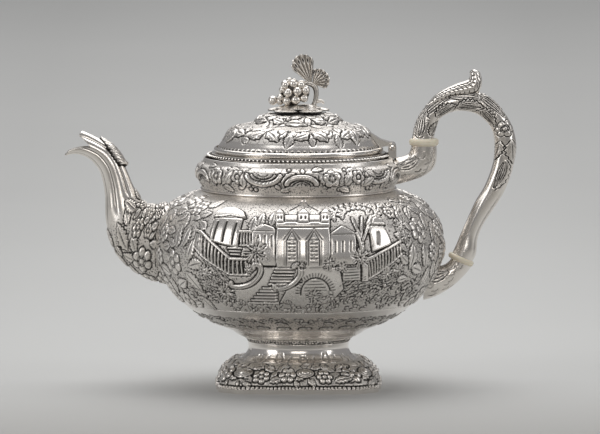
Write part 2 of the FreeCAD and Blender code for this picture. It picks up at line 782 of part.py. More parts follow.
def make_thumb_leaf(grip):
    """Acanthus scroll on top of the handle, curling up to a tip for the thumb."""
    leaf = handle_limb([
        (1.0, (18.2, 34.4), (18.0, 36.2), 2.6),
        (1.0, (24.6, 36.8), (23.2, 42.0), 5.2),
        (1.0, (34.4, 40.6), (30.0, 46.4), 5.8),
        (1.0, (44.6, 41.4), (38.6, 50.0), 5.6),
        (1.0, (52.4, 43.6), (44.6, 52.0), 5.0),
        (1.0, (54.8, 50.6), (46.4, 54.0), 4.4),
        (1.0, (53.4, 57.0), (46.4, 57.2), 3.4),
        (1.0, (49.8, 59.6), (47.4, 58.8), 2.0),
    ])
    return one_solid(leaf.cut(grip))


# ---- all pieces ------------------------------------------------------------


def main():
    os.makedirs("parts", exist_ok=True)
    strainer_centre = spout_point(0.0, -10.0, 4.6)
    save("body_shell", make_body(strainer_centre))
    save("foot_plate", make_foot_plate())
    save("foot_edge_band", make_foot_edge())
    save("pedestal", make_pedestal())
    save("base_band", make_base_band())
    save("neck_collar", make_collar())
    save("neck_wire", make_neck_wire())
    save("mouth_ring", make_mouth_ring())
    save("rope_rim", make_rope_rim())

    near_half, far_half = make_spout_halves()
    save("spout_near_half", near_half)
    save("spout_far_half", far_half)
    save("spout_lip_leaf", make_lip_leaf())

    pot = filled(body_outline()).fuse(filled(collar_outline()))
    upper = trimmed(handle_limb(upper_socket_stations), ring_low, -up_axis)
    upper = bored(one_solid(upper.cut(pot)), ring_low, -up_axis)
    save("upper_handle_socket", drilled(upper))
    lower = trimmed(handle_limb(lower_socket_stations), low_ring_low, -low_axis)
    lower = bored(one_solid(lower.cut(pot)), low_ring_low, -low_axis)
    save("lower_handle_socket", drilled(lower))

    ring_top = ring_low + up_axis * ring_t
    low_ring_top = low_ring_low + low_axis * low_ring_t
    grip_full = trimmed(handle_limb(grip_stations), ring_top, up_axis)
    grip_full = trimmed(grip_full, low_ring_top, low_axis)
    grip = grip_full.cut(handle_limb(grip_stations[2:-2], plate))
    grip = bored(grip, ring_top, up_axis)
    grip = bored(grip, low_ring_top, low_axis)
    save("handle_grip", drilled(grip))
    save("thumb_leaf", make_thumb_leaf(grip_full))
    save("upper_ivory_ring", drilled(make_insulator(ring_low, up_axis, ring_r, ring_t)))
    save("lower_ivory_ring", drilled(make_insulator(low_ring_low, low_axis, low_ring_r, low_ring_t)))
    save("handle_rivets", make_rivets([upper, grip, lower, grip]))

    save("hinge_bracket", make_hinge_bracket())
    save("hinge_pin", make_hinge_pin())
    save("lid_hinge_leaf", make_lid_leaf())
    save("lid_dome", make_lid_dome())
    save("lid_rim", make_lid_rim())
    save("lid_bezel", make_lid_bezel())

    save("finial_leaf_base", make_leaf_base())
    grapes = make_grapes()
    save("finial_grapes", grapes)
    stalk = make_stalk(grapes)
    save("finial_stalk", stalk)
    save("finial_left_leaf", make_finial_leaf(left_leaf, stalk))
    save("finial_right_leaf", make_finial_leaf(right_leaf, stalk))
    save("finial_stud", make_stud())
    save("finial_washer", make_washer())
    save("finial_nut", make_nut())


main()
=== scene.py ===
import bmesh
import bpy
import math
import numpy as np
from mathutils import Matrix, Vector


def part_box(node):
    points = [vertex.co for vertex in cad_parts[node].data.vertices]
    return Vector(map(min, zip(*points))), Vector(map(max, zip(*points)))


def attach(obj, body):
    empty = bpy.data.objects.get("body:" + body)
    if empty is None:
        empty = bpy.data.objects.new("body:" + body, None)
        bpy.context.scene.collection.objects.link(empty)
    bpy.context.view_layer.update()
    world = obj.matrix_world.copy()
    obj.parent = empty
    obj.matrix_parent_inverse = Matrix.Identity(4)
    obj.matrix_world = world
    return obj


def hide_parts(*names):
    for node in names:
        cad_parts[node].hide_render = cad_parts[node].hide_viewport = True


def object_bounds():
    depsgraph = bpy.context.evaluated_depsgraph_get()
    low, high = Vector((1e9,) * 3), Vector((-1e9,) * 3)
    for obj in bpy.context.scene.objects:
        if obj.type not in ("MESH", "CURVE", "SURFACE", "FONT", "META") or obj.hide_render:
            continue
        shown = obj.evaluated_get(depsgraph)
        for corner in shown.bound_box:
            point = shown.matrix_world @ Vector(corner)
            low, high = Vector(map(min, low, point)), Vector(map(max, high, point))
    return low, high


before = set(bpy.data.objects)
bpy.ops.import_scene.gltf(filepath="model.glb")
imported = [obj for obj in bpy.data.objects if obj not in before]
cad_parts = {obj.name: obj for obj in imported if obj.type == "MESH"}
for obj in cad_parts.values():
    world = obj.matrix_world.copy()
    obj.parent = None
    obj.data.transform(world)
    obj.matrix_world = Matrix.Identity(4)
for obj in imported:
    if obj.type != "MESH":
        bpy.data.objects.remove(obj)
cad_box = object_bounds()

# ---- Studio -----------------------------------------------------------------
# A wide pale table with soft boxes above and at the sides. The camera stands far off, a little
# above the pot, and looks straight at its side.

MM = 0.001
scene = bpy.context.scene
scene.view_settings.view_transform = "Standard"
scene.view_settings.exposure = 0.0

pot_top = np.array(cad_box[1])[2] / MM
frame_width = 408.0
camera_distance = 7000.0
camera_tilt = math.radians(5.2)
aim = np.array([1.0, 0.0, 0.51 * pot_top])

camera_data = bpy.data.cameras.new("camera")
camera_data.sensor_width = 36.0
camera_data.lens = camera_data.sensor_width * camera_distance / frame_width
camera_data.clip_end = 20.0
camera = bpy.data.objects.new("camera", camera_data)
scene.collection.objects.link(camera)
camera.location = MM * (aim + camera_distance * np.array([0, -math.cos(camera_tilt), math.sin(camera_tilt)]))
camera.rotation_euler = (math.pi / 2 - camera_tilt, 0, 0)
scene.camera = camera


class Value:
    """A number in a shader. Arithmetic on it adds the Math nodes."""

    def __init__(self, finish, socket):
        self.finish = finish
        self.socket = socket

    def math(self, operation, first, second=0.0):
        return self.finish.add("ShaderNodeMath", {"operation": operation}, {0: first, 1: second})

    def __add__(self, other):
        return self.math("ADD", self, other)

    def __radd__(self, other):
        return self.math("ADD", other, self)

    def __sub__(self, other):
        return self.math("SUBTRACT", self, other)

    def __rsub__(self, other):
        return self.math("SUBTRACT", other, self)

    def __mul__(self, other):
        return self.math("MULTIPLY", self, other)

    def __rmul__(self, other):
        return self.math("MULTIPLY", other, self)

    def clamped(self):
        return self.math("MAXIMUM", self.math("MINIMUM", self, 1.0), 0.0)


class Finish:
    """A material being put together: add() adds any node, and mix() blends two colours."""

    def __init__(self, name):
        self.material = bpy.data.materials.new(name)
        self.material.use_nodes = True
        self.tree = self.material.node_tree
        self.place = self.add("ShaderNodeTexCoord", {}, {}, "Object")

    def add(self, kind, settings, values, output=0):
        node = self.tree.nodes.new(kind)
        for key, setting in settings.items():
            setattr(node, key, setting)
        self.feed(node, values)
        return Value(self, node.outputs[output])

    def feed(self, node, values):
        for key, value in values.items():
            if isinstance(value, Value):
                self.tree.links.new(value.socket, node.inputs[key])
            elif isinstance(value, tuple) and node.inputs[key].type == "RGBA":
                node.inputs[key].default_value = (*value, 1.0)
            else:
                node.inputs[key].default_value = value

    def mix(self, share, first, second):
        return self.add("ShaderNodeMix", {"data_type": "RGBA"}, {0: share, 6: first, 7: second}, 2)

    def noise(self, scale, detail=2.0):
        return self.add("ShaderNodeTexNoise", {}, {"Vector": self.place, "Scale": scale, "Detail": detail})

    def attribute(self, name):
        return self.add("ShaderNodeAttribute", {"attribute_name": name}, {}, "Fac")

    def surface(self, values):
        self.feed(self.tree.nodes["Principled BSDF"], values)
        return self.material


def new_object(name, points, faces, finish):
    """Smooth-shaded mesh object from points in mm."""
    mesh = bpy.data.meshes.new(name)
    mesh.from_pydata((np.asarray(points) * MM).tolist(), [], faces)
    mesh.polygons.foreach_set("use_smooth", np.ones(len(mesh.polygons), bool))
    mesh.materials.append(finish)
    piece = bpy.data.objects.new(name, mesh)
    scene.collection.objects.link(piece)
    return piece


def table_finish():
    """Paper with painted shade: its colour darkens towards the camera, away from it and to the sides. Distances are in
    metres.
    """
    finish = Finish("studio_paper")
    parted = finish.add("ShaderNodeSeparateXYZ", {}, {0: finish.place})
    across, away = (Value(finish, parted.socket.node.outputs[k]) for k in (0, 1))
    shade_start, far_start = -0.42, 1.0
    near = (1.0 - (away - shade_start) * 2.2).clamped()
    edges = ((away - far_start) * 0.4).clamped() * 0.10 + ((across * across) * 18.0).clamped() * 0.08
    grain = finish.noise(900.0)
    bump = finish.add("ShaderNodeBump", {}, {"Strength": 0.02, "Distance": 0.0005, "Height": grain})
    colour = finish.mix(finish.noise(3.0), (0.56, 0.56, 0.548), (0.585, 0.585, 0.572))
    # Painted shade: the paper's colour is darkened towards the far back and the sides, and again near the camera, in
    # place of light falling off.
    shaded = finish.mix(edges, colour, (0.05, 0.05, 0.05))
    shaded = finish.mix(near * 0.75, shaded, (0.28, 0.27, 0.25))
    return finish.surface({"Base Color": shaded, "Roughness": 0.85, "Normal": bump})


table_half = 14000.0
table_points = [(x * table_half, y * table_half, 0.0) for x, y in ((-1, -1), (1, -1), (1, 1), (-1, 1))]
new_object("studio_table", table_points, [(0, 1, 2, 3)], table_finish())


def soft_box(name, place, target, width, height, power, colour=(1.0, 1.0, 1.0)):
    light = bpy.data.lights.new(name, "AREA")
    light.shape = "RECTANGLE"
    light.size, light.size_y = width * MM, height * MM
    light.energy = power
    light.color = colour
    lamp = bpy.data.objects.new(name, light)
    scene.collection.objects.link(lamp)
    lamp.location = MM * np.array(place)
    away = np.array(place) - np.array(target)
    lamp.rotation_euler = (math.acos(away[2] / np.linalg.norm(away)), 0, math.atan2(away[0], -away[1]))


middle = (0.0, 0.0, 110.0)
soft_box("top_box", (0, 150, 1500), middle, 1500, 1000, 10.0)
soft_box("left_box", (-1400, -700, 700), middle, 700, 1300, 6.5)
soft_box("right_box", (1500, -500, 800), middle, 600, 1200, 4.5)
soft_box("front_fill", (0, -2600, 900), middle, 1400, 700, 7.5, (1.0, 0.97, 0.93))
soft_box("back_light", (0, 2500, 2600), (0, 2200, 0), 4000, 3000, 60.0)

world = bpy.data.worlds.new("studio")
scene.world = world
world.use_nodes = True
world.node_tree.nodes["Background"].inputs["Color"].default_value = (0.50, 0.50, 0.51, 1.0)
world.node_tree.nodes["Background"].inputs["Strength"].default_value = 0.50

# ---- Body -------------------------------------------------------------------
# A bowl and shoulder raised from one sheet of silver, then chased with a landscape: a castle
# with stairs, terraces and trees between sprays of flowers. Tarnish stays in the recesses.


def smooth_line(points, spacing):
    """Points at even spacing along a smooth curve through the given ones."""
    p = np.array(points, float)
    ends = np.vstack([2 * p[0] - p[1], p, 2 * p[-1] - p[-2]])
    t = np.linspace(0, 1, 24, endpoint=False)[:, None]
    fine = []
    for a, b, c, d in zip(ends, ends[1:], ends[2:], ends[3:]):
        fine.append(b + 0.5 * t * (c - a + t * (2 * a - 5 * b + 4 * c - d + t * (3 * b - a - 3 * c + d))))
    line = np.vstack(fine + [p[-1:]])
    run = run_length(line)
    at = np.linspace(0, run[-1], max(2, round(run[-1] / spacing) + 1))
    return np.column_stack([np.interp(at, run, line[:, k]) for k in range(p.shape[1])])


def run_length(line):
    return np.r_[0, np.cumsum(np.linalg.norm(np.diff(line, axis=0), axis=1))]


def whole_turn(count):
    return np.linspace(0, 2 * math.pi, count, endpoint=False)


class Relief:
    """Height of chased work over an unrolled surface, in mm. x runs round it and wraps, y runs up it.
    squeeze gives the surface's real width at a height, as a share of the unrolled one."""

    def __init__(self, radius, tall, step, seed, squeeze=lambda y: 1.0):
        self.radius, self.width, self.tall = radius, 2 * math.pi * radius, tall
        self.cols, self.rows = round(self.width / step), round(tall / step) + 1
        self.step = self.width / self.cols
        self.height = np.zeros((self.rows, self.cols), np.float32)
        self.matte = np.zeros((self.rows, self.cols), np.float32)
        self.taken = np.zeros((self.rows, self.cols), bool)
        self.random = np.random.default_rng(seed)
        self.squeeze = squeeze
        self.under = False

    def around(self, low_x, low_y, high_x, high_y):
        """Cells of a rectangle, and their places."""
        i = np.arange(math.floor(low_x / self.step), math.ceil(high_x / self.step) + 1)
        j = np.arange(max(0, math.floor(low_y / self.step)), min(self.rows - 1, math.ceil(high_y / self.step)) + 1)
        return np.ix_(j, i % self.cols), (i * self.step)[None, :], (j * self.step)[:, None]

    def build(self, cells, inside, height, moat=0.0, edge=None):
        """Raise the ground to a shape. edge is the distance outside it, where a moat is cut round it.
        While under is set, what is there already stays on top."""
        ground = self.height[cells]
        clear = ~self.taken[cells] if self.under else np.ones(inside.shape, bool)
        taken = inside & clear
        if moat:
            ground = ground - moat * np.clip(1 - np.abs(edge - 0.4) / 0.7, 0, 1) * clear
            taken = taken | (clear & (edge < 0.8)) if self.under else taken
        inside = inside & clear
        self.height[cells] = np.where(inside, np.maximum(height, ground), ground)
        self.matte[cells] = np.where(inside, 0.12, self.matte[cells])
        self.taken[cells] |= taken

    def local(self, x, y, reach, turn):
        """Cells about a place, with their places along and across a direction from it."""
        wide = 1 / self.squeeze(y)
        cells, px, py = self.around(x - reach * wide, y - reach, x + reach * wide, y + reach)
        c, s = math.cos(turn), math.sin(turn)
        dx, dy = (px - x) / wide, py - y
        return cells, c * dx + s * dy, c * dy - s * dx

    def dome(self, x, y, wide, tall, height, turn=0.0, moat=0.25):
        cells, a, b = self.local(x, y, max(wide, tall) + 1.5, turn)
        r = np.hypot(a / wide, b / tall)
        self.build(cells, r < 1, height * np.sqrt(np.clip(1 - r**2, 0, 1)), moat, (r - 1) * min(wide, tall))

    def distance(self, points, px, py):
        near = np.full(np.broadcast(px, py).shape, 1e9)
        for (ax, ay), (bx, by) in zip(points, points[1:]):
            dx, dy = bx - ax, by - ay
            t = np.clip(((px - ax) * dx + (py - ay) * dy) / max(dx * dx + dy * dy, 1e-9), 0, 1)
            near = np.minimum(near, np.hypot(px - ax - t * dx, py - ay - t * dy))
        return near

    def span(self, points, margin):
        p = np.array(points)
        return self.around(*(p.min(axis=0) - margin), *(p.max(axis=0) + margin))

    def cut(self, points, width, depth):
        """Engraved line."""
        cells, px, py = self.span(points, width)
        groove = np.clip(1 - (self.distance(points, px, py) / width)**2, 0, 1)
        self.height[cells] -= depth * groove

    def ridge(self, points, width, height, moat=0.2):
        """Raised rounded line."""
        cells, px, py = self.span(points, width + 1.5)
        d = self.distance(points, px, py)
        rise = height * np.sqrt(np.clip(1 - (d / width)**2, 0, 1))
        self.build(cells, d < width, rise, moat, d - width)

    def wall(self, corners, height, moat=0.3):
        """Raised flat shape with straight sides."""
        cells, px, py = self.span(corners, 1.5)
        loop = corners + corners[:1]
        d = self.distance(loop, px, py)
        inside = np.zeros(d.shape, bool)
        for (ax, ay), (bx, by) in zip(loop, loop[1:]):
            if ay != by:
                inside ^= ((ay > py) != (by > py)) & (px < ax + (py - ay) * (bx - ax) / (by - ay))
        self.build(cells, inside, height * np.clip(0.55 + d / 0.9, 0, 1), moat, np.where(inside, -d, d))

    def leaf(self, x, y, turn, length, width, height, teeth=5, bend=0.0, moat=0.4):
        """Serrated leaf with a groove along its middle, from its stalk end outwards."""
        cells, along, across = self.local(x, y, length + width, turn)
        a = along / length
        b = across - bend * length * a * (1 - a)
        inner = np.clip(a, 0, 1)
        half = 0.5 * width * np.sin(math.pi * inner**0.8) * (1 + 0.16 * np.cos(2 * math.pi * (teeth * inner)))
        share = np.abs(b) / np.maximum(half, 1e-3)
        inside = (a > 0) & (a < 1) & (share < 1)
        veins = 0.16 * np.cos(2 * math.pi * (teeth * (inner - 0.35 * share)))
        rise = height * (0.55 + 0.3 * np.sqrt(np.clip(1 - share**2, 0, 1)) + veins * share)
        rise -= 0.5 * height * np.exp(-(b / (0.03 * width + 0.2))**2)
        self.build(cells, inside, rise, moat, np.where((a > 0) & (a < 1), np.abs(b) - half, 9.0))

    def flower(self, x, y, radius, petals, height, turn=0.0):
        """Open flower with round petals about a ringed centre."""
        cells, a, b = self.local(x, y, radius + 1.5, turn)
        r, phi = np.hypot(a, b), np.arctan2(b, a)
        lobe = np.abs(np.cos(petals * phi / 2))
        outline = radius * (0.60 + 0.40 * lobe**0.5)
        share = r / outline
        rise = height * (0.45 + 0.6 * np.sin(math.pi * np.clip(share, 0, 1))) * (0.35 + 0.65 * lobe**0.5)
        rise += 0.1 * height * np.cos(6 * petals * phi) * share
        self.build(cells, share < 1, rise, 0.5, r - outline)
        centre, under = 0.36 * radius, self.under
        self.under = False
        self.dome(x, y, centre, centre, 1.1 * height, moat=0.8)
        self.dome(x, y, 0.62 * centre, 0.62 * centre, 1.1 * height, moat=0.8)
        self.under = under

    def bush(self, x, y, radius, height, spikes=17):
        """Round shrub of radiating blades, dark between them."""
        cells, a, b = self.local(x, y, radius, 0.0)
        self.height[cells] -= 0.45 * np.clip(1.1 - np.hypot(a, b) / radius, 0, 1)
        for ring, share in ((1.0, 0.5), (0.7, 0.75), (0.42, 1.0)):
            count = max(6, int(spikes * ring))
            for k in range(count):
                turn = 2 * math.pi * (k + 0.5 * ring) / count + 0.15 * self.random.standard_normal()
                start, end = 0.45 * ring * radius, ring * radius * (0.85 + 0.25 * self.random.random())
                c, s = math.cos(turn), math.sin(turn)
                self.ridge([(x + start * c, y + start * s), (x + end * c, y + end * s)], 0.5, share * height, 0.3)

    def foliage(self, low_x, high_x, edges, size, height, density):
        """Small leaves scattered between a lower and an upper edge, which are functions of x."""
        x = low_x
        while x < high_x:
            low, high = edges(x)
            for _ in range(max(1, int(density * (high - low) / size))):
                y = low + (high - low) * self.random.random()
                lean = math.pi * (0.5 + 0.55 * self.random.standard_normal())
                grow = size * (0.7 + 0.6 * self.random.random())
                self.leaf(x + size * self.random.random(), y, lean, grow, 0.5 * grow, height, 2, 0.3, 0.45)
            x += 0.6 * size

    def free(self, x, y, radius):
        cells, a, b = self.local(x, y, radius, 0.0)
        return not self.taken[cells][np.hypot(a, b) < radius].any()

    def scatter(self, box, tries, radius, place):
        """Calls place(x, y) wherever a random spot of the box has room for it."""
        low_x, low_y, high_x, high_y = box
        for _ in range(tries):
            x = low_x + (high_x - low_x) * self.random.random()
            y = low_y + (high_y - low_y) * self.random.random()
            if self.free(x, y, radius):
                place(x, y)

    def spray(self, box, flowers, size, height):
        """Flowers and leaves that overlap over a box, the larger ones on top."""
        spin = self.random.random
        self.under = True
        for share, tries in ((1.0, flowers), (0.66, flowers)):
            grow = share * size
            self.scatter(box, tries, 1.1 * grow, lambda x, y, grow=grow: self.flower(x, y, grow, 6, height, 6 * spin()))
        for share, tries in ((1.9, 400), (1.4, 500), (1.0, 300)):
            length = share * size

            def put(x, y, length=length):
                turn = 6.3 * spin()
                c, s = math.cos(turn), math.sin(turn)
                root_x, root_y = x - 0.5 * length * c / self.squeeze(y), y - 0.5 * length * s
                self.leaf(root_x, root_y, turn, length, 0.52 * length, 0.8 * height, 6, 0.3 * (spin() - 0.5), 0.5)
            self.scatter(box, tries, 0.26 * length, put)
        self.under = False

    def average(self, layer, spread):
        size = max(1, round(spread / self.step))
        for axis in (0, 1):
            edges = [(size, size) if k == axis else (0, 0) for k in (0, 1)]
            total = np.cumsum(np.insert(np.pad(layer, edges, "wrap" if axis else "edge"), 0, 0, axis=axis), axis=axis)
            take, drop = [slice(None)] * 2, [slice(None)] * 2
            take[axis], drop[axis] = slice(2 * size + 1, None), slice(0, -(2 * size + 1))
            layer = (total[tuple(take)] - total[tuple(drop)]) / (2 * size + 1)
        return layer

    def recess(self):
        """How far each place lies below its surroundings, near and wide."""
        height = self.height.astype(np.float64)
        near = self.average(height, 0.8) - height
        wide = self.average(height, 2.2) - height
        return np.clip(3.2 * near + 1.1 * wide, 0, 1)

    def read(self, layer, x, y):
        """Layer's value at places, between its cells."""
        fx, fy = x / self.step, np.clip(y / self.step, 0, self.rows - 1.001)
        i, j = np.floor(fx).astype(int), np.floor(fy).astype(int)
        u, v = fx - i, fy - j
        i, k, top = i % self.cols, (i + 1) % self.cols, np.minimum(j + 1, self.rows - 1)
        low = layer[j, i] * (1 - u) + layer[j, k] * u
        return low * (1 - v) + (layer[top, i] * (1 - u) + layer[top, k] * u) * v


def grid_object(name, points, marks, finish, wrap_rows=False, wrap_columns=True):
    """Closed mesh from a grid of points, with values to store at them. Open ends get flat faces."""
    rows, cols = points.shape[:2]
    index = np.arange(rows * cols).reshape(rows, cols)
    ends = []
    if not wrap_rows:
        ends = [index[0].tolist(), index[-1].tolist()]
    elif not wrap_columns:
        ends = [index[:, 0].tolist(), index[:, -1].tolist()]
    if wrap_rows:
        index = np.vstack([index, index[:1]])
    if wrap_columns:
        index = np.hstack([index, index[:, :1]])
    quads = np.stack([index[:-1, :-1], index[:-1, 1:], index[1:, 1:], index[1:, :-1]], axis=-1).reshape(-1, 4).tolist()
    piece = new_object(name, points.reshape(-1, 3), quads + ends, finish)
    for mark, values in marks.items():
        layer = piece.data.attributes.new(mark, "FLOAT", "POINT")
        layer.data.foreach_set("value", np.ascontiguousarray(values, np.float32).ravel())
    shape = bmesh.new()
    shape.from_mesh(piece.data)
    bmesh.ops.remove_doubles(shape, verts=shape.verts, dist=1e-6)
    bmesh.ops.recalc_face_normals(shape, faces=shape.faces)
    if shape.calc_volume(signed=True) < 0:
        bmesh.ops.reverse_faces(shape, faces=shape.faces)
    for face in shape.faces:
        if len(face.verts) > 4:
            face.smooth = False
    shape.to_mesh(piece.data)
    shape.free()
    return piece


def turned(name, outer, inner, relief, finish, columns, sector=None, closed=True):
    """Piece turned about the pot's axis. The outer line runs up and takes the relief, the inner one runs back down.
    It is open at both ends where the lines end on the axis, and goes only part of the way round in a sector."""
    start, end = sector or (0.0, 2 * math.pi)
    angles = np.linspace(start, end, columns + 1)
    if sector is None:
        angles = angles[:-1]
    slope = np.gradient(outer, axis=0)
    slope /= np.linalg.norm(slope, axis=1)[:, None]
    height = np.zeros((len(outer) + len(inner), len(angles)))
    marks = {"recess": height.copy(), "matte": height.copy()}
    if relief is not None:
        x, y = np.meshgrid(relief.radius * angles, run_length(outer))
        height[: len(outer)] = relief.read(relief.height, x, y)
        marks["recess"][: len(outer)] = relief.read(relief.recess(), x, y)
        marks["matte"][: len(outer)] = relief.read(relief.matte, x, y)
    line = np.vstack([outer, inner])
    normal = np.vstack([np.column_stack([slope[:, 1], -slope[:, 0]]), np.zeros(inner.shape)])
    r = line[:, :1] + normal[:, :1] * height
    z = line[:, 1:] + normal[:, 1:] * height
    points = np.stack([r * np.sin(angles), -r * np.cos(angles), z], axis=-1)
    return grid_object(name, points, marks, finish, closed, sector is None)


def silver_finish(name, polish=0.20, tarnish=1.0, warmth=0.0):
    """Silver, with its recesses tarnished dark and its ground matted with fine punch marks."""
    finish = Finish(name)
    recess, matte = finish.attribute("recess"), finish.attribute("matte")
    cloud = finish.noise(55.0, 4.0)
    punch = finish.add("ShaderNodeTexVoronoi", {}, {"Vector": finish.place, "Scale": 720.0})
    scratch = finish.noise(2600.0, 1.0)
    dots = ((0.40 - punch) * 5.0).clamped()
    dirt = (tarnish * (recess * 1.15 + matte * (0.06 + 0.12 * cloud + 0.85 * dots))).clamped()
    clean = finish.mix(cloud, (0.90, 0.865, 0.825), (0.80, 0.755 - 0.01 * warmth, 0.705 - 0.03 * warmth))
    rough = matte * punch + 0.05 * scratch
    bump = finish.add("ShaderNodeBump", {}, {"Strength": 0.3, "Distance": 0.0002, "Height": rough})
    return finish.surface({
        "Base Color": finish.mix(dirt, clean, (0.030, 0.027, 0.024)),
        "Metallic": 1.0 - 0.4 * dirt,
        "Roughness": (polish + 0.07 * cloud + 0.18 * matte + 0.30 * dirt).clamped(),
        "Normal": bump,
    })


def fit(piece, body, slot, *nodes):
    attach(piece, body)
    if nodes:
        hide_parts(*nodes)


def box_mm(node):
    return [np.array(corner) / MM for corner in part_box(node)]


shell_low, shell_high = box_mm("body_shell")
belly_r = (shell_high[0] - shell_low[0]) / 2
shell_h = shell_high[2] - shell_low[2]
sheet = 1.1

# Shares of the belly's radius, and of the body's height from the bowl's lowest point.
bowl_line = [
    (0.0, 0.0), (0.369, 0.024), (0.463, 0.064), (0.571, 0.110), (0.722, 0.189), (0.855, 0.309), (0.956, 0.451),
    (1.0, 0.593),
]
shoulder_line = [
    (0.993, 0.694), (0.973, 0.772), (0.925, 0.849), (0.864, 0.910), (0.783, 0.953), (0.702, 0.980), (0.661, 1.0),
]
scene_start = 0.245
fine_line = smooth_line(np.array(bowl_line + shoulder_line) * (belly_r, shell_h) + (0, shell_low[2]), 0.25)
scene_z = shell_low[2] + scene_start * shell_h
split = int(np.argmax(fine_line[:, 1] >= scene_z))
upper_line = smooth_line(fine_line[split::8], 0.52)
upper_run = run_length(upper_line)
chasing = Relief(belly_r, upper_run[-1], 0.4, seed=11)


def at(x, z):
    """Place on the unrolled body of a point seen from the front, x mm from the middle and z mm up."""
    r = np.interp(z, upper_line[:, 1], upper_line[:, 0])
    return belly_r * math.asin(max(-1.0, min(1.0, x / r))), float(np.interp(z, upper_line[:, 1], upper_run))


def trail(*points):
    return [at(x, z) for x, z in points]


def rectangle(x0, z0, x1, z1):
    return trail((x0, z0), (x1, z0), (x1, z1), (x0, z1))


def arched_window(work, x, z, width, tall, bars):
    """Pointed window: a sunk pane with glazing bars, between two fine mouldings."""
    half = width / 2
    outline = [(x - half, z), (x - half, z + 0.72 * tall), (x, z + tall), (x + half, z + 0.72 * tall), (x + half, z)]
    if bars == 1:
        work.cut(trail((x, z + 0.3), (x, z + 0.86 * tall)), 0.5 * width, 0.5)
        return
    work.cut(trail(*outline), 0.62, 0.6)
    for k in range(bars):
        level = z + (k + 0.7) * 0.8 * tall / bars
        work.cut(trail((x - 0.7 * half, level), (x + 0.7 * half, level)), 0.5, 0.4)
        if k % 2:
            work.cut(trail((x - 0.5 * half, level), (x + 0.5 * half, level + 0.8 * tall / bars)), 0.42, 0.3)
            work.cut(trail((x + 0.5 * half, level), (x - 0.5 * half, level + 0.8 * tall / bars)), 0.42, 0.3)
    for side in (-1, 1):
        work.cut(trail((x + side * (half + 1.3), z), (x + side * (half + 1.3), z + 0.70 * tall)), 0.45, 0.4)
    work.cut(trail((x - half - 1.6, z + 0.78 * tall), (x, z + tall + 1.8), (x + half + 1.6, z + 0.78 * tall)), 0.6, 0.5)


def balustrade(work, top, foot, count):
    """Rail with turned uprights below it."""
    for k in range(count):
        share = (k + 0.5) / count
        high = [np.interp(share, np.linspace(0, 1, len(top)), [p[a] for p in top]) for a in (0, 1)]
        low = [np.interp(share, np.linspace(0, 1, len(foot)), [p[a] for p in foot]) for a in (0, 1)]
        work.ridge(trail(tuple(high), tuple(low)), 0.66, 0.7, 0.75)
    work.ridge(trail(*top), 0.95, 1.1, 0.5)
    work.ridge(trail(*foot), 0.6, 0.7, 0.4)


def castle(work):
    """Main hall with turrets on its parapet, two tall windows and a low building on each side."""
    work.wall(rectangle(-31.0, 91.5, -15.0, 114.5), 0.75)
    work.wall(trail((-31.5, 114.5), (-29.0, 116.6), (-22.5, 118.6), (-17.0, 116.8), (-14.6, 114.5)), 1.0)
    work.wall(rectangle(21.0, 92.0, 38.2, 112.2), 0.75)
    work.wall(trail((20.6, 112.2), (28.8, 117.6), (38.8, 112.2)), 1.0)
    for x in (-27.0, -22.4, -17.8, 24.6, 29.6, 35.0):
        arched_window(work, x, 104.5 if x < 0 else 100.5, 2.5, 7.6, 1)
    work.wall(rectangle(-14.6, 90.5, 20.6, 117.0), 1.15, 0.6)
    work.wall(rectangle(-9.4, 119.5, 15.4, 124.4), 0.8)
    work.wall(rectangle(-15.2, 116.6, 21.0, 120.0), 1.5, 0.5)
    work.cut(trail((-15.0, 116.9), (20.8, 116.9)), 0.6, 0.6)
    for x, half in ((-12.5, 2.7), (3.2, 3.6), (17.9, 3.0)):
        work.wall(rectangle(x - half, 119.4, x + half, 125.0), 1.5, 0.5)
        work.wall(trail((x - half - 0.6, 125.0), (x, 128.2), (x + half + 0.6, 125.0)), 1.3)
        for side in (-0.4, 0.4):
            work.cut(trail((x + side * half, 121.6), (x + side * half, 122.8)), 0.7, 0.7)
    for x in (-4.4, 10.4):
        arched_window(work, x, 92.0, 7.4, 22.0, 7)
    work.cut(trail((-6.0, 127.2), (0.2, 130.2), (3.4, 134.0)), 0.7, 0.5)
    work.cut(trail((13.0, 127.2), (6.8, 130.2), (3.4, 134.0)), 0.7, 0.5)


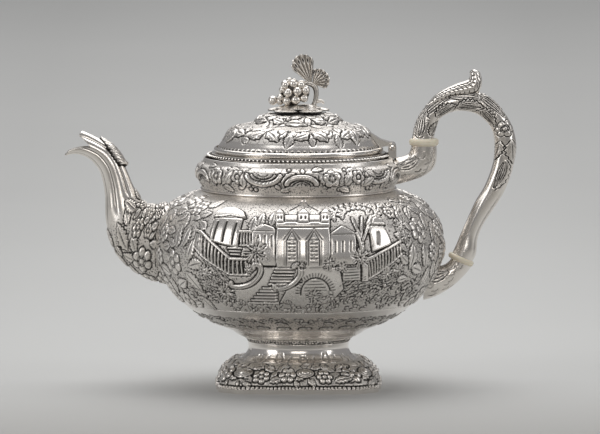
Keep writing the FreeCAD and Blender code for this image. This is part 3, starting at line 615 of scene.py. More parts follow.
def stairs(work):
    """Double stair with curling side walls, and an arch beside it."""
    landing = ((-43, 75.5), (-32, 77.5), (-24, 90), (-1, 90), (2, 84), (-4, 78), (-14, 74), (-14, 64), (-41, 63))
    work.wall(trail(*landing), 0.45)
    for k in range(6):
        z = 78.5 + 2.2 * k
        work.ridge(trail((-19.5 + 0.9 * k, z), (-6.0 + 0.7 * k, z)), 0.75, 0.95, 0.7)
    for k in range(6):
        z = 64.8 + 2.2 * k
        work.ridge(trail((-33.0 + 1.9 * k, z), (-14.4, z)), 0.8, 1.0, 0.7)
    scrolls = (
        [(-30.4, 89.4), (-29.8, 91.6), (-27.4, 92.0), (-25.4, 89.6), (-26.4, 84.6), (-31, 79.2), (-37.4, 76.4),
         (-44.4, 76.4), (-45.2, 78.6)],
        [(-3.0, 91.0), (-1.0, 92.4), (1.2, 90.2), (1.2, 85.4), (-2.6, 80.0), (-8.4, 76.4), (-15.0, 75.4),
         (-16.2, 77.4)],
    )
    for path in scrolls:
        work.ridge([tuple(p) for p in smooth_line(trail(*path), 1.2)], 1.7, 1.4, 0.8)
        work.cut([tuple(p) for p in smooth_line(trail(*path[1:]), 1.2)], 0.5, 0.6)
    work.cut(trail((-14.2, 75), (-14.0, 63.5)), 0.8, 0.8)
    work.wall(trail((0, 91), (3, 80), (-8, 74), (-12, 66), (4, 61), (22, 66), (30, 75), (27, 90)), 0.5)
    for a in np.linspace(0.05 * math.pi, math.pi, 20):
        c, s = math.cos(a), math.sin(a)
        work.cut(trail((11.4 + 10.6 * c, 72.4 + 11.2 * s), (11.4 + 13.2 * c, 72.4 + 13.8 * s)), 0.5, 0.5)
    rim = [(11.4 + 9.9 * math.cos(a), 72.2 + 10.8 * math.sin(a)) for a in np.linspace(-0.1, math.pi + 0.1, 20)]
    work.cut(trail(*rim), 0.8, 0.8)
    for k in range(4):
        work.cut(trail((4.0, 74.0 + 2.2 * k), (19.0 - 1.2 * k, 74.3 + 2.2 * k)), 0.5, 0.35)
    work.bush(*at(10.5, 70.5), 5.6, 1.0)


def towers(work):
    """Leaning round temple on the left and a domed tower on the right, with their terraces."""
    work.wall(trail((-55.6, 121.4), (-36.6, 122.6), (-40.8, 102.6), (-59.4, 106.6)), 1.2, 0.5)
    dome = ((-56.6, 121.6), (-54.5, 124.6), (-47.5, 127.6), (-41.0, 127.6), (-36.5, 125.4), (-34.9, 121.8))
    work.wall(trail(*dome), 1.6, 0.4)
    work.cut(trail((-56.0, 121.0), (-45.5, 122.6), (-35.0, 121.6)), 0.7, 0.8)
    for x0, z0, x1, z1 in ((-53.6, 118.4, -57.0, 108.0), (-47.8, 118.8, -50.8, 107.0), (-41.4, 118.2, -44.6, 105.0)):
        work.cut(trail((x0, z0), (x1, z1)), 1.1, 0.9)
    for k in range(3):
        work.ridge(trail((-47.5 + k, 102.4 - 2.0 * k), (-38.5 - 0.6 * k, 102.4 - 2.0 * k)), 0.7, 0.9, 0.5)
    balustrade(work, [(-39.0, 113.6), (-31.6, 113.8)], [(-39.5, 104.5), (-31.6, 104.8)], 4)
    work.wall(trail((45.6, 117.6), (49.4, 99.6), (62.4, 104.0), (56.8, 116.0)), 1.2, 0.5)
    work.wall(trail((44.8, 117.4), (46.5, 120.8), (50.6, 123.8), (55.0, 121.2), (58.0, 116.4)), 1.6, 0.4)
    work.cut(trail((45.6, 117.2), (57.4, 116.0)), 0.7, 0.8)
    arched_window(work, 53.0, 104.6, 3.0, 8.6, 1)
    balustrade(work, [(-68.4, 112.4), (-65.4, 111.9), (-55.6, 103.2), (-46.0, 95.4), (-34.4, 95.4)],
               [(-70.6, 102.0), (-66.0, 96.4), (-56.0, 89.6), (-46.4, 84.4), (-33.0, 84.6)], 17)
    balustrade(work, [(43.8, 93.4), (56.4, 99.6), (69.4, 105.8)], [(46.0, 80.6), (56.6, 86.6), (69.8, 97.4)], 13)
    work.wall(rectangle(42.6, 79.8, 46.6, 91.6), 1.1, 0.5)
    work.wall(rectangle(29.8, 80.6, 41.4, 89.6), 0.5)
    for k in range(4):
        work.cut(trail((30.5, 82.2 + 2.0 * k), (40.8, 82.6 + 2.0 * k)), 0.5, 0.4)


def hatching(work, corners, lean, count):
    """Short strokes that follow the lie of the ground, inside a quadrilateral."""
    low_a, high_a, low_b, high_b = (np.array(corner, float) for corner in corners)
    for _ in range(count):
        u, v = work.random.random(2)
        x, z = (1 - u) * ((1 - v) * low_a + v * high_a) + u * ((1 - v) * low_b + v * high_b)
        turn = lean + 0.25 * work.random.standard_normal()
        c, s, reach = math.cos(turn), math.sin(turn), 1.2 + 1.8 * work.random.random()
        ends = trail((x - reach * c, z - reach * s), (x, z + 0.3), (x + reach * c, z + reach * s))
        if not work.taken[int(ends[1][1] / work.step), int(ends[1][0] / work.step) % work.cols]:
            work.cut(ends, 0.5, 0.4)


def planting(work):
    """Trees, shrubs and the leafy ground under the castle."""
    trunks = (
        ((43.6, 96.0), (43.0, 105.0), (42.0, 113.0), (42.4, 122.0)), ((43.0, 106.0), (39.4, 114.5), (36.0, 121.6)),
        ((43.4, 108.0), (46.4, 116.0), (48.0, 122.0)), ((42.6, 98.0), (41.4, 106.0), (39.0, 112.0)),
    )
    for path in trunks:
        work.ridge([tuple(p) for p in smooth_line(trail(*path), 1.5)], 1.1, 1.2, 0.5)
    for x, z in ((-25.9, 123.4), (-17.8, 124.6), (-31.5, 120.5)):
        work.leaf(*at(x - 0.6, z - 7.0), 0.47 * math.pi, 13.0, 6.0, 0.9, 6)
    for turn, reach in [(k * 0.0875 - 0.1, 1.0) for k in range(14)] + [(k * 0.12 - 0.1, 0.6) for k in range(10)]:
        c, s = math.cos(turn * math.pi), math.sin(turn * math.pi)
        x, z = 38.0 + reach * 14.0 * c, 124.0 + reach * 5.2 * s
        work.leaf(*at(x, z), turn * math.pi, 6.0, 3.0, 1.1, 3, 0.2, 0.5)
        work.leaf(*at(x, z), (turn + 0.4) * math.pi, 4.8, 2.6, 0.9, 3, -0.2, 0.5)
    shrubs = (
        (-28.6, 100.0, 9.0), (-63.2, 85.0, 5.6), (-49.5, 71.4, 8.2), (41.8, 96.2, 6.4), (20.6, 93.0, 4.6),
        (29.0, 90.2, 3.6), (68.0, 115.4, 5.0), (71.6, 108.4, 4.6), (59.0, 84.0, 6.0), (66.8, 86.4, 5.2),
        (2.4, 92.0, 2.4), (-33.4, 89.0, 3.2),
    )
    for x, z, radius in shrubs:
        work.bush(*at(x, z), radius, 1.2)
    hatching(work, ((-72, 84), (-74, 98), (-46, 77), (-48, 83)), -0.7, 90)
    hatching(work, ((-70, 66), (-72, 82), (-42, 64), (-44, 78)), -0.35, 130)
    hatching(work, ((30, 68), (28, 80), (72, 76), (72, 92)), 0.35, 150)
    for low_x, high_x, edges in (
        (-72, -43, lambda x: (at(0, 61.5)[1] + 0.0016 * (x + 44)**2, at(0, 71)[1])),
        (-46, 16, lambda x: (at(0, 57.8)[1], at(0, 65)[1])),
        (12, 76, lambda x: (at(0, 58.0)[1] + 0.0008 * x**2, at(0, 69 + 0.10 * x)[1])),
    ):
        work.foliage(at(low_x, 65)[0], at(high_x, 65)[0], edges, 3.6, 0.9, 0.75)


def side_flowers(work, side, low_angle, high_angle):
    """Large flowers and serrated leaves about the spout or the handle, and over the side of the body."""
    if side < 0:
        daisies = [(-84.5, 89.5, 9.0), (-90.5, 108.0, 6.5), (-94.0, 92.0, 6.0)]
        leaves = [(-82.0, 100.0, 1.5, 14), (-73.0, 121.0, -1.9, 12), (-74.0, 92.5, 1.25, 13), (-76.0, 84.0, -1.0, 16),
                  (-66.0, 121.5, 0.3, 9), (-82.0, 122.0, 0.2, 12), (-71.0, 76.0, -1.0, 12), (-86.0, 78.0, -1.9, 12)]
    else:
        daisies = [(80.8, 111.4, 9.0), (91.0, 96.0, 6.5), (93.5, 110.0, 6.0)]
        leaves = [(72.5, 108.0, 2.9, 10), (77.0, 103.0, -1.75, 15), (84.0, 102.0, -1.4, 14), (74.5, 119.0, 0.9, 11),
                  (66.0, 124.0, 0.6, 9), (60.0, 127.5, 0.4, 8), (86.5, 119.0, 1.3, 12), (88.0, 86.0, -1.7, 13)]
    work.under = True
    for x, z, radius in daisies:
        work.flower(*at(x, z), radius, 6, 1.2, 0.5)
    for x, z, turn, length in leaves:
        work.leaf(*at(x, z), turn, length * 1.2, 0.6 * length, 0.9, 6, 0.2, 0.55)
    low, high = at(0, 60)[1], at(0, 131)[1]
    work.spray((belly_r * low_angle, low, belly_r * high_angle, high), 60, 8.0, 1.0)


def matted_ground(work):
    """Fine punching over the whole scene, down to its leafy lower edge."""
    rows = np.arange(work.rows)[:, None] * work.step
    low, high = at(0, 62)[1], at(0, 131)[1]
    fade = np.clip((rows - low) / 5, 0, 1) * np.clip((high + 3 - rows) / 4, 0, 1)
    work.matte[:] = np.maximum(fade, 0.45 * (rows > high))
    work.height += (0.05 * fade * work.random.standard_normal(work.height.shape)).astype(np.float32)


matted_ground(chasing)
towers(chasing)
castle(chasing)
stairs(chasing)
planting(chasing)
# The back carries the same landscape as the front.
scene_half = math.radians(47)
scene_cols, back = round(scene_half * belly_r / chasing.step), chasing.cols // 2
for layer in (chasing.height, chasing.matte, chasing.taken):
    layer[:, back - scene_cols: back + scene_cols] = np.roll(layer, scene_cols, axis=1)[:, : 2 * scene_cols]
side_flowers(chasing, -1, -math.radians(134), -math.radians(43))
side_flowers(chasing, 1, math.radians(43), math.radians(134))

chased_silver = silver_finish("chased_silver")
inner_line = fine_line[split:][::-60] - (sheet, 0)
body_sides = {"body_front": 0, "body_handle_side": 90, "body_back": 180, "body_spout_side": 270}
for name, middle_angle in body_sides.items():
    arc = (math.radians(middle_angle - 45), math.radians(middle_angle + 45))
    piece = turned(name, upper_line, inner_line, chasing, chased_silver, 300, arc)
    fit(piece, "pot", "chased_silver", "body_shell")

# The bowl below the scene, plain but for a narrow band of leaves above its joint with the foot.
lower_line = smooth_line(fine_line[: split + 1: 8], 0.55)
lower_run = run_length(lower_line)
band_r = 0.62 * belly_r
banding = Relief(band_r, lower_run[-1], 0.45, seed=5)
band_low, band_high = (float(np.interp(band_z, lower_line[:, 1], lower_run)) for band_z in (43.0, 51.0))
banding.matte[round(band_low / banding.step): round(band_high / banding.step)] = 0.9
band_leaves = 26
for k in range(band_leaves):
    x = banding.width * k / band_leaves
    banding.leaf(x, band_low + 2.6, 0.5, 8.0, 4.4, 0.9, 4, 0.4, 0.5)
    banding.leaf(x + 1.0, band_high - 2.0, -0.4, 7.5, 4.0, 0.9, 4, -0.4, 0.5)
    banding.dome(x + 7.2, band_low + 5.0, 1.6, 1.6, 0.8, moat=0.6)
banding.foliage(0, banding.width, lambda x: (band_high - 2.0, band_high + 1.5), 2.8, 0.6, 0.8)
lower_inner = smooth_line(fine_line[: split + 1: 8], 4.0)[::-1] + (0, sheet)
bowl = turned("body_bowl", lower_line, lower_inner, banding, chased_silver, 520, closed=False)
fit(bowl, "pot", "chased_silver", "body_shell")

# ---- Collar, mouth and rope rim ----------------------------------------------
# A bulging band chased with flowers and scrolled panels on punched ground. The mouth ring sits on
# its top with a soldered rope of twisted wire, and a plain wire hides the seam below it.

collar_low, collar_high = box_mm("neck_collar")
collar_r = collar_high[0]
neck_r = shoulder_line[-1][0] * belly_r
collar_h = collar_high[2] - collar_low[2]
bulge = collar_r - neck_r
collar_points = [(0, 0), (0.22, 0.16), (0.80, 0.36), (1.0, 0.56), (0.72, 0.74), (0.0, 0.86), (-0.31, 1.0)]
collar_line = smooth_line(np.array(collar_points) * (bulge, collar_h) + (neck_r, collar_low[2]), 0.5)
frieze = Relief(collar_r, run_length(collar_line)[-1], 0.4, seed=23)


def scroll_panel(work, x, y, wide, turn):
    """C-shaped moulding round a dotted panel, with leaves at its ends."""
    for radius, width, height in ((wide, 1.7, 0.9), (0.70 * wide, 0.8, 0.6)):
        angles = np.linspace(0.08 * math.pi, 0.92 * math.pi, 16)
        curve = [(x + radius * math.cos(a), y + turn * 0.62 * radius * math.sin(a) - turn * 2.6) for a in angles]
        work.ridge(curve, width, height, 0.9)
    for a in np.linspace(0.1 * math.pi, 0.9 * math.pi, 11):
        for radius in (0.84 * wide, 0.48 * wide, 0.3 * wide):
            place = (x + radius * math.cos(a), y + turn * 0.62 * radius * math.sin(a) - turn * 2.6)
            work.cut([place, (place[0] + 0.1, place[1])], 0.55, 0.5)
    cells, px, py = work.around(x - wide, y - wide, x + wide, y + wide)
    work.taken[cells] |= ((px - x) / wide)**2 + ((py - y + turn * 2.6) / (0.62 * wide))**2 < 1


def frieze_repeat(work, x):
    """One length of the collar's ornament."""
    middle = 0.50 * work.tall
    scroll_panel(work, x + 12, middle + 2.0, 12.5, -1)
    scroll_panel(work, x + 39, middle - 1.5, 10.5, 1)
    work.flower(x + 60, middle + 1.0, 6.4, 5, 0.8, 0.4)
    work.flower(x + 80, middle + 1.5, 5.0, 5, 0.8, 1.0)
    for dx, dy, turn, length, width in (
        (26, -5, 0.9, 14, 6.5), (28, 5, -1.0, 13, 6.0), (51, 4, -0.9, 12, 6.0), (54, -6, 0.6, 11, 5.5),
        (70, -4, 0.9, 13, 7.0), (66, -6, -0.4, 10, 5.0), (71, 5, 0.2, 10, 5.0), (85, -5, 0.5, 11, 6.0),
        (88, 5, -0.6, 10, 5.0), (-3, -6, 1.4, 12, 6.0), (-2, 6, -0.2, 9, 5.0), (24, -8, 0.1, 9, 4.0),
        (46, 7, 0.2, 9, 4.0),
    ):
        work.leaf(x + dx, middle + dy, turn, length, width, 0.75, 5, 0.25, 0.6)
    for dx, dy in ((70.5, 7.5), (66, -7), (53, 8), (30, 8), (33, -7), (6, -7.5), (90, -7), (20, 8.5)):
        work.dome(x + dx, middle + dy, 1.3, 1.3, 0.7, moat=0.6)


frieze.matte[:] = 0.9
frieze.matte[frieze.rows - 9:] = 0.4
frieze.matte[:7] = 0.55
frieze.under = True
repeats = 5
for k in range(repeats):
    frieze_repeat(frieze, frieze.width * (k - 0.42) / repeats)
frieze.spray((0, 0.24 * frieze.tall, frieze.width, 0.78 * frieze.tall), 0, 5.5, 0.7)
collar_inner = smooth_line(collar_line[::8], 3.0)[::-1] - (sheet, 0)
collar = turned("neck_collar_chased", collar_line, collar_inner, frieze, chased_silver, 900)
fit(collar, "pot", "chased_silver", "neck_collar")


class Tree(Finish):
    """Geometry Nodes that end in Realize Instances and Set Material."""

    def __init__(self, name, sizes, finish):
        self.tree = bpy.data.node_groups.new(name, "GeometryNodeTree")
        face = self.tree.interface
        face.new_socket("Path", in_out="INPUT", socket_type="NodeSocketGeometry")
        for key, value in sizes.items():
            kind = "NodeSocketInt" if isinstance(value, int) else "NodeSocketFloat"
            face.new_socket(key, in_out="INPUT", socket_type=kind).default_value = value
        face.new_socket("Made", in_out="OUTPUT", socket_type="NodeSocketGeometry")
        self.entry = self.tree.nodes.new("NodeGroupInput")
        self.exit = self.tree.nodes.new("NodeGroupOutput")
        self.finish = finish

    def given(self, name):
        return Value(self, self.entry.outputs[name])

    def end(self, geometry):
        smooth = self.add("GeometryNodeSetShadeSmooth", {}, {"Geometry": geometry})
        real = self.add("GeometryNodeRealizeInstances", {}, {"Geometry": smooth})
        made = self.add("GeometryNodeSetMaterial", {}, {"Geometry": real, "Material": self.finish})
        self.tree.links.new(made.socket, self.exit.inputs[0])

    def make(self, name, points, edges, sizes, marks=()):
        """Plain mesh that the tree makes from a path or a set of points in mm."""
        mesh = bpy.data.meshes.new(name)
        mesh.from_pydata((np.asarray(points) * MM).tolist(), edges, [])
        for mark, values in dict(marks).items():
            mesh.attributes.new(mark, "FLOAT", "POINT").data.foreach_set("value", values)
        maker = bpy.data.objects.new(name + "_path", mesh)
        scene.collection.objects.link(maker)
        modifier = maker.modifiers.new("maker", "NODES")
        modifier.node_group = self.tree
        for item in self.tree.interface.items_tree:
            if item.in_out == "INPUT" and item.name in sizes:
                modifier[item.identifier] = sizes[item.name]
        made = bpy.data.meshes.new_from_object(maker.evaluated_get(bpy.context.evaluated_depsgraph_get()))
        bpy.data.objects.remove(maker)
        piece = bpy.data.objects.new(name, made)
        scene.collection.objects.link(piece)
        return piece


def bead_tree(finish):
    """Oval beads along a closed path, each leaning out of its line."""
    tree = Tree("beads", {"Count": 100, "Length": 0.001, "Width": 0.001, "Lean": 0.5}, finish)
    path = tree.add("GeometryNodeMeshToCurve", {}, {"Mesh": tree.given("Path")})
    spots = tree.tree.nodes.new("GeometryNodeCurveToPoints")
    tree.feed(spots, {"Curve": path, "Count": tree.given("Count")})
    bead = tree.add("GeometryNodeMeshUVSphere", {}, {"Segments": 8, "Rings": 6, "Radius": 1.0})
    lean = tree.add("ShaderNodeCombineXYZ", {}, {1: tree.given("Lean")})
    width, length = tree.given("Width"), tree.given("Length")
    scale = tree.add("ShaderNodeCombineXYZ", {}, {0: width, 1: width, 2: length})
    beads = tree.add("GeometryNodeInstanceOnPoints", {}, {
        "Points": Value(tree, spots.outputs["Points"]), "Instance": bead,
        "Rotation": Value(tree, spots.outputs["Rotation"]), "Scale": scale,
    })
    turned_beads = tree.add("GeometryNodeRotateInstances", {}, {"Instances": beads, "Rotation": lean})
    tree.end(turned_beads)
    return tree


def ring_path(radius, z, count=240):
    angles = whole_turn(count)
    points = np.column_stack([radius * np.cos(angles), radius * np.sin(angles), np.full(count, z)])
    return points, [(k, (k + 1) % count) for k in range(count)]


cast_silver = silver_finish("cast_silver", 0.20, 1.1, 1.0)
plain_silver = silver_finish("plain_silver", 0.13, 0.6)
bead_finish = silver_finish("bead_silver", 0.16, 1.0)
beading = bead_tree(bead_finish)
rope_low, rope_high = box_mm("rope_rim")
rope_wire = (rope_high[2] - rope_low[2]) / 2
rope_r, rope_z, shade_core_half = rope_high[0] - rope_wire, rope_low[2] + rope_wire, 0.45
rope_middle = ring_path(rope_r + shade_core_half, rope_z)
twist = {"Count": 126, "Length": 1.75 * MM, "Width": 0.8 * MM, "Lean": 0.9}
fit(beading.make("rope_twist", *rope_middle, twist), "pot", "cast_silver", "rope_rim")
# The dark ring behind the twisted beads is painted shade: its near-black colour stands in for the shadow in the gaps of
# the rope.
shade_core_line = [(rope_r + shade_core_half * math.cos(a), rope_z + 0.8 * math.sin(a)) for a in np.linspace(-1.5, 1.5, 9)]
shade_core_inner = [(rope_high[0] - 2 * rope_wire + 0.1, z) for z in (rope_high[2] - 0.6, rope_low[2] + 0.6)]
# Painted shade: a near-black, half-metallic silver whose colour stands in for shadow.
painted_shade_look = Finish("painted_shade_finish")
painted_shade_silver = painted_shade_look.surface({
    "Base Color": painted_shade_look.mix(painted_shade_look.noise(55.0, 4.0), (0.11, 0.10, 0.09), (0.05, 0.045, 0.04)),
    "Metallic": 0.6,
    "Roughness": 0.5,
})
shade_core = turned("rope_painted_shade", np.array(shade_core_line), np.array(shade_core_inner), None, painted_shade_silver, 200)
fit(shade_core, "pot", "cast_silver", "rope_rim")

# ---- Lid --------------------------------------------------------------------
# A dome raised in two swells and chased with two rings of leaves, a half-round wire on its edge
# and a row of small dots above it.

dome_low, dome_high = box_mm("lid_dome")
skirt_r = dome_high[0]
lid_h = dome_high[2] - dome_low[2]
lid_points = [
    (1.000, 0.000), (0.985, 0.100), (0.955, 0.220), (0.915, 0.330), (0.880, 0.440), (0.838, 0.550), (0.760, 0.640),
    (0.640, 0.700), (0.545, 0.760), (0.500, 0.850), (0.420, 0.940), (0.260, 0.990), (0.04, 1.0),
]
lid_line = smooth_line(np.array(lid_points) * (skirt_r, lid_h) + (0, dome_low[2]), 0.5)
lid_run = run_length(lid_line)
ref_r = 0.75 * skirt_r
lid_work = Relief(
    ref_r, lid_run[-1], 0.4, seed=31,
    squeeze=lambda y: max(0.15, float(np.interp(y, lid_run, lid_line[:, 0])) / ref_r),
)


def lid_place(share):
    """Distance up the dome's line where its radius is a share of the lid's."""
    return float(np.interp(-share, -lid_line[:, 0] / skirt_r, lid_run))


def lid_leaves(work):
    """Broad leaves in clusters round the lower swell, and others lying along the ring round the upper one."""
    low, high = lid_place(0.90), lid_place(0.55)
    work.matte[round((low - 1.0) / work.step):] = 0.85
    work.under = True
    clusters, ring_leaves, dots = 9, 6, 84
    for k in range(clusters):
        x, turned_over = work.width * (k + 0.3) / clusters, (-1)**k
        work.leaf(x, low + 9.0, -1.25 + 0.5 * turned_over, 12.5, 8.0, 1.2, 3, 0.3, 0.6)
        work.leaf(x + 1.5, low + 8.5, 0.25 * turned_over, 13.0, 7.0, 1.1, 3, -0.3, 0.6)
        work.leaf(x - 2.0, low + 8.5, math.pi + 0.45, 12.0, 6.6, 1.1, 3, 0.3, 0.6)
        work.leaf(x + 8.0, low + 3.0, 0.9, 10.5, 6.0, 0.9, 4, 0.2, 0.6)
        work.dome(x + 13.0, low + 11.0, 1.7, 1.7, 1.4, moat=0.7)
    for k in range(ring_leaves):
        x = work.width * (k + 0.72) / ring_leaves
        work.leaf(x, high + 1.5, 0.12 * (-1)**k, 15.0, 6.2, 1.3, 2, 0.3, 0.6)
        work.leaf(x - 2.0, high + 3.0, math.pi - 0.3, 11.0, 5.6, 1.1, 3, 0.3, 0.6)
        work.leaf(x + 5.0, high + 6.5, 0.5, 9.0, 4.6, 0.9, 3, 0.3, 0.6)
        work.dome(x + 1.0, high + 6.0, 1.5, 1.5, 1.4, moat=0.8)
    work.spray((0, low + 1.0, work.width, lid_place(0.70)), 0, 6.0, 0.8)
    work.spray((0, lid_place(0.58), work.width, lid_place(0.36)), 0, 5.0, 0.8)
    for k in range(dots):
        x = work.width * k / dots
        work.cut([(x - 0.35, lid_place(0.972)), (x + 0.35, lid_place(0.972))], 0.75, 0.8)


lid_leaves(lid_work)
lid_inner = smooth_line(lid_line[::8], 3.0)[::-1] - (sheet, sheet)
lid_inner[-1] = lid_line[0] - (sheet, 0)
lid = turned("lid_dome_chased", lid_line, lid_inner, lid_work, chased_silver, 760)
fit(lid, "lid", "chased_silver", "lid_dome")

# ---- Finial -----------------------------------------------------------------
# A bunch of grapes on a vine stalk with two fluted leaves, cast in pieces, on a rosette of leaves
# that a stud and nut hold to the lid.

base_high = box_mm("finial_leaf_base")[1]
spray_z = base_high[2]
finial_h = (box_mm("finial_left_leaf")[1][2] - spray_z) / 0.955
grape_silver = silver_finish("grape_silver", 0.24, 1.0, 1.0)


def finial_point(x, y, up):
    return finial_h * x, finial_h * y, spray_z + finial_h * up


def grape_tree(finish):
    """A round grape on each point, as large as its mark."""
    tree = Tree("grapes", {"Fineness": 20}, finish)
    ball = tree.add("GeometryNodeMeshUVSphere", {}, {"Segments": tree.given("Fineness"), "Rings": 14, "Radius": 1.0})
    size = tree.add("GeometryNodeInputNamedAttribute", {"data_type": "FLOAT"}, {"Name": "size"})
    spots = tree.add("GeometryNodeMeshToPoints", {}, {"Mesh": tree.given("Path")})
    tree.end(tree.add("GeometryNodeInstanceOnPoints", {}, {"Points": spots, "Instance": ball, "Scale": size}))
    return tree


# Along X, across Y and up, and radius, as shares of the finial's height.
grapes = [
    (-0.47, 0.00, 0.11, 0.088), (-0.34, 0.00, 0.09, 0.070), (-0.33, 0.08, 0.17, 0.062), (-0.33, -0.08, 0.17, 0.062),
    (-0.21, 0.09, 0.11, 0.088), (-0.21, -0.09, 0.11, 0.088), (-0.05, 0.13, 0.13, 0.090), (-0.05, -0.13, 0.13, 0.090),
    (0.10, 0.11, 0.16, 0.080), (0.10, -0.11, 0.16, 0.080), (-0.19, 0.13, 0.26, 0.088), (-0.19, -0.13, 0.26, 0.088),
    (-0.02, 0.15, 0.29, 0.088), (-0.02, -0.15, 0.29, 0.088), (0.13, 0.11, 0.30, 0.080), (0.13, -0.11, 0.30, 0.080),
    (-0.24, 0.08, 0.40, 0.084), (-0.24, -0.08, 0.40, 0.084), (-0.09, 0.08, 0.42, 0.088), (-0.09, -0.08, 0.42, 0.088),
    (0.05, 0.08, 0.40, 0.080), (0.05, -0.08, 0.40, 0.080), (-0.16, 0.0, 0.46, 0.074), (-0.29, 0.0, 0.30, 0.070),
]
spots = [finial_point(*grape[:3]) for grape in grapes]
marks = {"size": [0.97 * finial_h * grape[3] * MM for grape in grapes]}
fit(grape_tree(grape_silver).make("grapes", spots, [], {}, marks), "lid", "cast_silver", "finial_grapes")
# Dark balls inside the bunch are painted shade: their near-black colour stands in for the shadow between the grapes.
grape_shade_spots = [(-0.10, 0.0, 0.18, 0.165), (-0.10, 0.0, 0.33, 0.155), (0.05, 0.0, 0.25, 0.15), (-0.30, 0.0, 0.15, 0.09)]
spots = [finial_point(*grape_shade_spot[:3]) for grape_shade_spot in grape_shade_spots]
marks = {"size": [finial_h * grape_shade_spot[3] * MM for grape_shade_spot in grape_shade_spots]}
fit(grape_tree(painted_shade_silver).make("grape_core", spots, [], {}, marks), "lid", "cast_silver")


def limb_surface(line, shares, angles):
    """Points and outward normals of an oval limb, at shares of its length and angles round it."""
    run = run_length(line)
    where = shares * run[-1]
    near_x, near_z, far_x, far_z, half = (np.interp(where, run, line[:, k]) for k in range(5))
    c, s = np.cos(angles), np.sin(angles)
    middle = np.stack([(near_x + far_x) / 2, 0 * c * half, (near_z + far_z) / 2], axis=-1)
    offset = np.stack([(far_x - near_x) / 2 * c, half * s, (far_z - near_z) / 2 * c], axis=-1)
    points = middle + offset
    round_it = np.roll(points, -1, axis=1) - np.roll(points, 1, axis=1)
    normal = np.cross(np.gradient(points, axis=0), round_it)
    normal /= np.maximum(np.linalg.norm(normal, axis=-1, keepdims=True), 1e-9)
    if (normal * offset).sum() < 0:
        normal = -normal
    return points, normal, where


def limb(name, stations, spacing, columns, relief, finish, sheet_t=None, ends=None):
    """Curved tube or bar through ovals given as (one edge, other edge, half width)."""
    line = smooth_line([(*near, *far, half) for near, far, half in stations], spacing)
    angles = np.tile(whole_turn(columns), (len(line), 1))
    shares = np.linspace(0, 1, len(line))[:, None] * (np.ones(columns) if ends is None else ends)
    points, normal, where = limb_surface(line, shares, angles)
    marks = {"recess": np.zeros(where.shape), "matte": np.zeros(where.shape)}
    if relief is not None:
        x = relief.width * angles / (2 * math.pi)
        marks["recess"], marks["matte"] = relief.read(relief.recess(), x, where), relief.read(relief.matte, x, where)
        points = points + normal * relief.read(relief.height, x, where)[..., None]
    if sheet_t is None:
        return grid_object(name, points, marks, finish)
    inner, inner_normal, _ = limb_surface(line, shares, angles)
    inner = (inner - sheet_t * inner_normal)[::-6]
    points = np.concatenate([points, inner])
    marks = {key: np.concatenate([value, np.full(inner.shape[:2], 0.3)]) for key, value in marks.items()}
    return grid_object(name, points, marks, finish, wrap_rows=True)


def finial_stations(rows):
    """Stations of a limb from ovals given as shares of the finial's height."""
    return [
        (finial_point(near[0], 0, near[1])[::2], finial_point(far[0], 0, far[1])[::2], half * finial_h)
        for near, far, half in rows
    ]


stalk_ovals = [
    ((0.21, 0.0), (0.33, 0.0), 0.07), ((0.26, 0.10), (0.35, 0.09), 0.05), ((0.28, 0.22), (0.37, 0.22), 0.05),
    ((0.26, 0.32), (0.35, 0.36), 0.05), ((0.20, 0.37), (0.26, 0.45), 0.05), ((0.10, 0.39), (0.12, 0.47), 0.05),
    ((0.02, 0.36), (0.02, 0.42), 0.04),
]
stalk_work = Relief(2.0, 40, 0.35, seed=4)
for k in range(6):
    stalk_work.cut([(2.1 * k, 0.0), (2.1 * k + 1.5, 20.0), (2.1 * k, 40.0)], 0.5, 0.3)
stalk = limb("finial_vine_stalk", finial_stations(stalk_ovals), 0.5, 28, stalk_work, grape_silver)
fit(stalk, "lid", "cast_silver", "finial_stalk")
twig_ovals = [
    ((0.33, 0.05), (0.33, 0.12), 0.035), ((0.40, 0.07), (0.41, 0.13), 0.03), ((0.47, 0.04), (0.48, 0.09), 0.03),
]
twig = limb("finial_twig", finial_stations(twig_ovals), 0.5, 20, None, grape_silver)
fit(twig, "lid", "cast_silver", "finial_stalk")


def fan_leaf(name, base, low, high, length, ribs, node):
    """Leaf fluted like a shell, with a scalloped edge and a pit at the head of each flute."""
    u, v = np.meshgrid(np.linspace(0, 1, 14 * ribs + 1), np.linspace(0.05, 1, 44))
    flute = np.cos(2 * math.pi * ribs * u)
    angle = math.pi * (low + (high - low) * u)
    scallop = 0.965 + 0.035 * np.sqrt(np.clip(0.5 - 0.5 * flute, 0, 1))
    reach = finial_h * length * np.sin(math.pi * (0.18 + 0.64 * u))**0.5 * scallop * v
    ripple = finial_h * (0.030 * v * flute + 0.10 * v**2 * (u - 0.5)**2 * 4 - 0.035 * v)
    pit = np.exp(-((v - 0.80) / 0.07)**2) * np.clip(-flute, 0, 1)
    x = finial_h * base[0] + reach * np.cos(angle)
    z = spray_z + finial_h * base[1] + reach * np.sin(angle)
    front = np.stack([x, ripple + 1.2 * pit - 0.6, z], axis=-1)
    back = np.stack([x, ripple + 1.2 * pit + 0.6, z], axis=-1)[::-1]
    recess = np.clip(0.75 * np.clip(flute, 0, 1)**4 + 1.1 * pit, 0, 1)
    marks = {"recess": np.concatenate([recess, recess[::-1]]), "matte": np.zeros((2 * len(v), v.shape[1]))}
    leaf = grid_object(name, np.concatenate([front, back]), marks, grape_silver, True, False)
    fit(leaf, "lid", "cast_silver", node)


fan_leaf("finial_tall_leaf", (0.24, 0.40), 0.80, 0.47, 0.60, 6, "finial_left_leaf")
fan_leaf("finial_short_leaf", (0.26, 0.42), 0.50, -0.14, 0.33, 7, "finial_right_leaf")


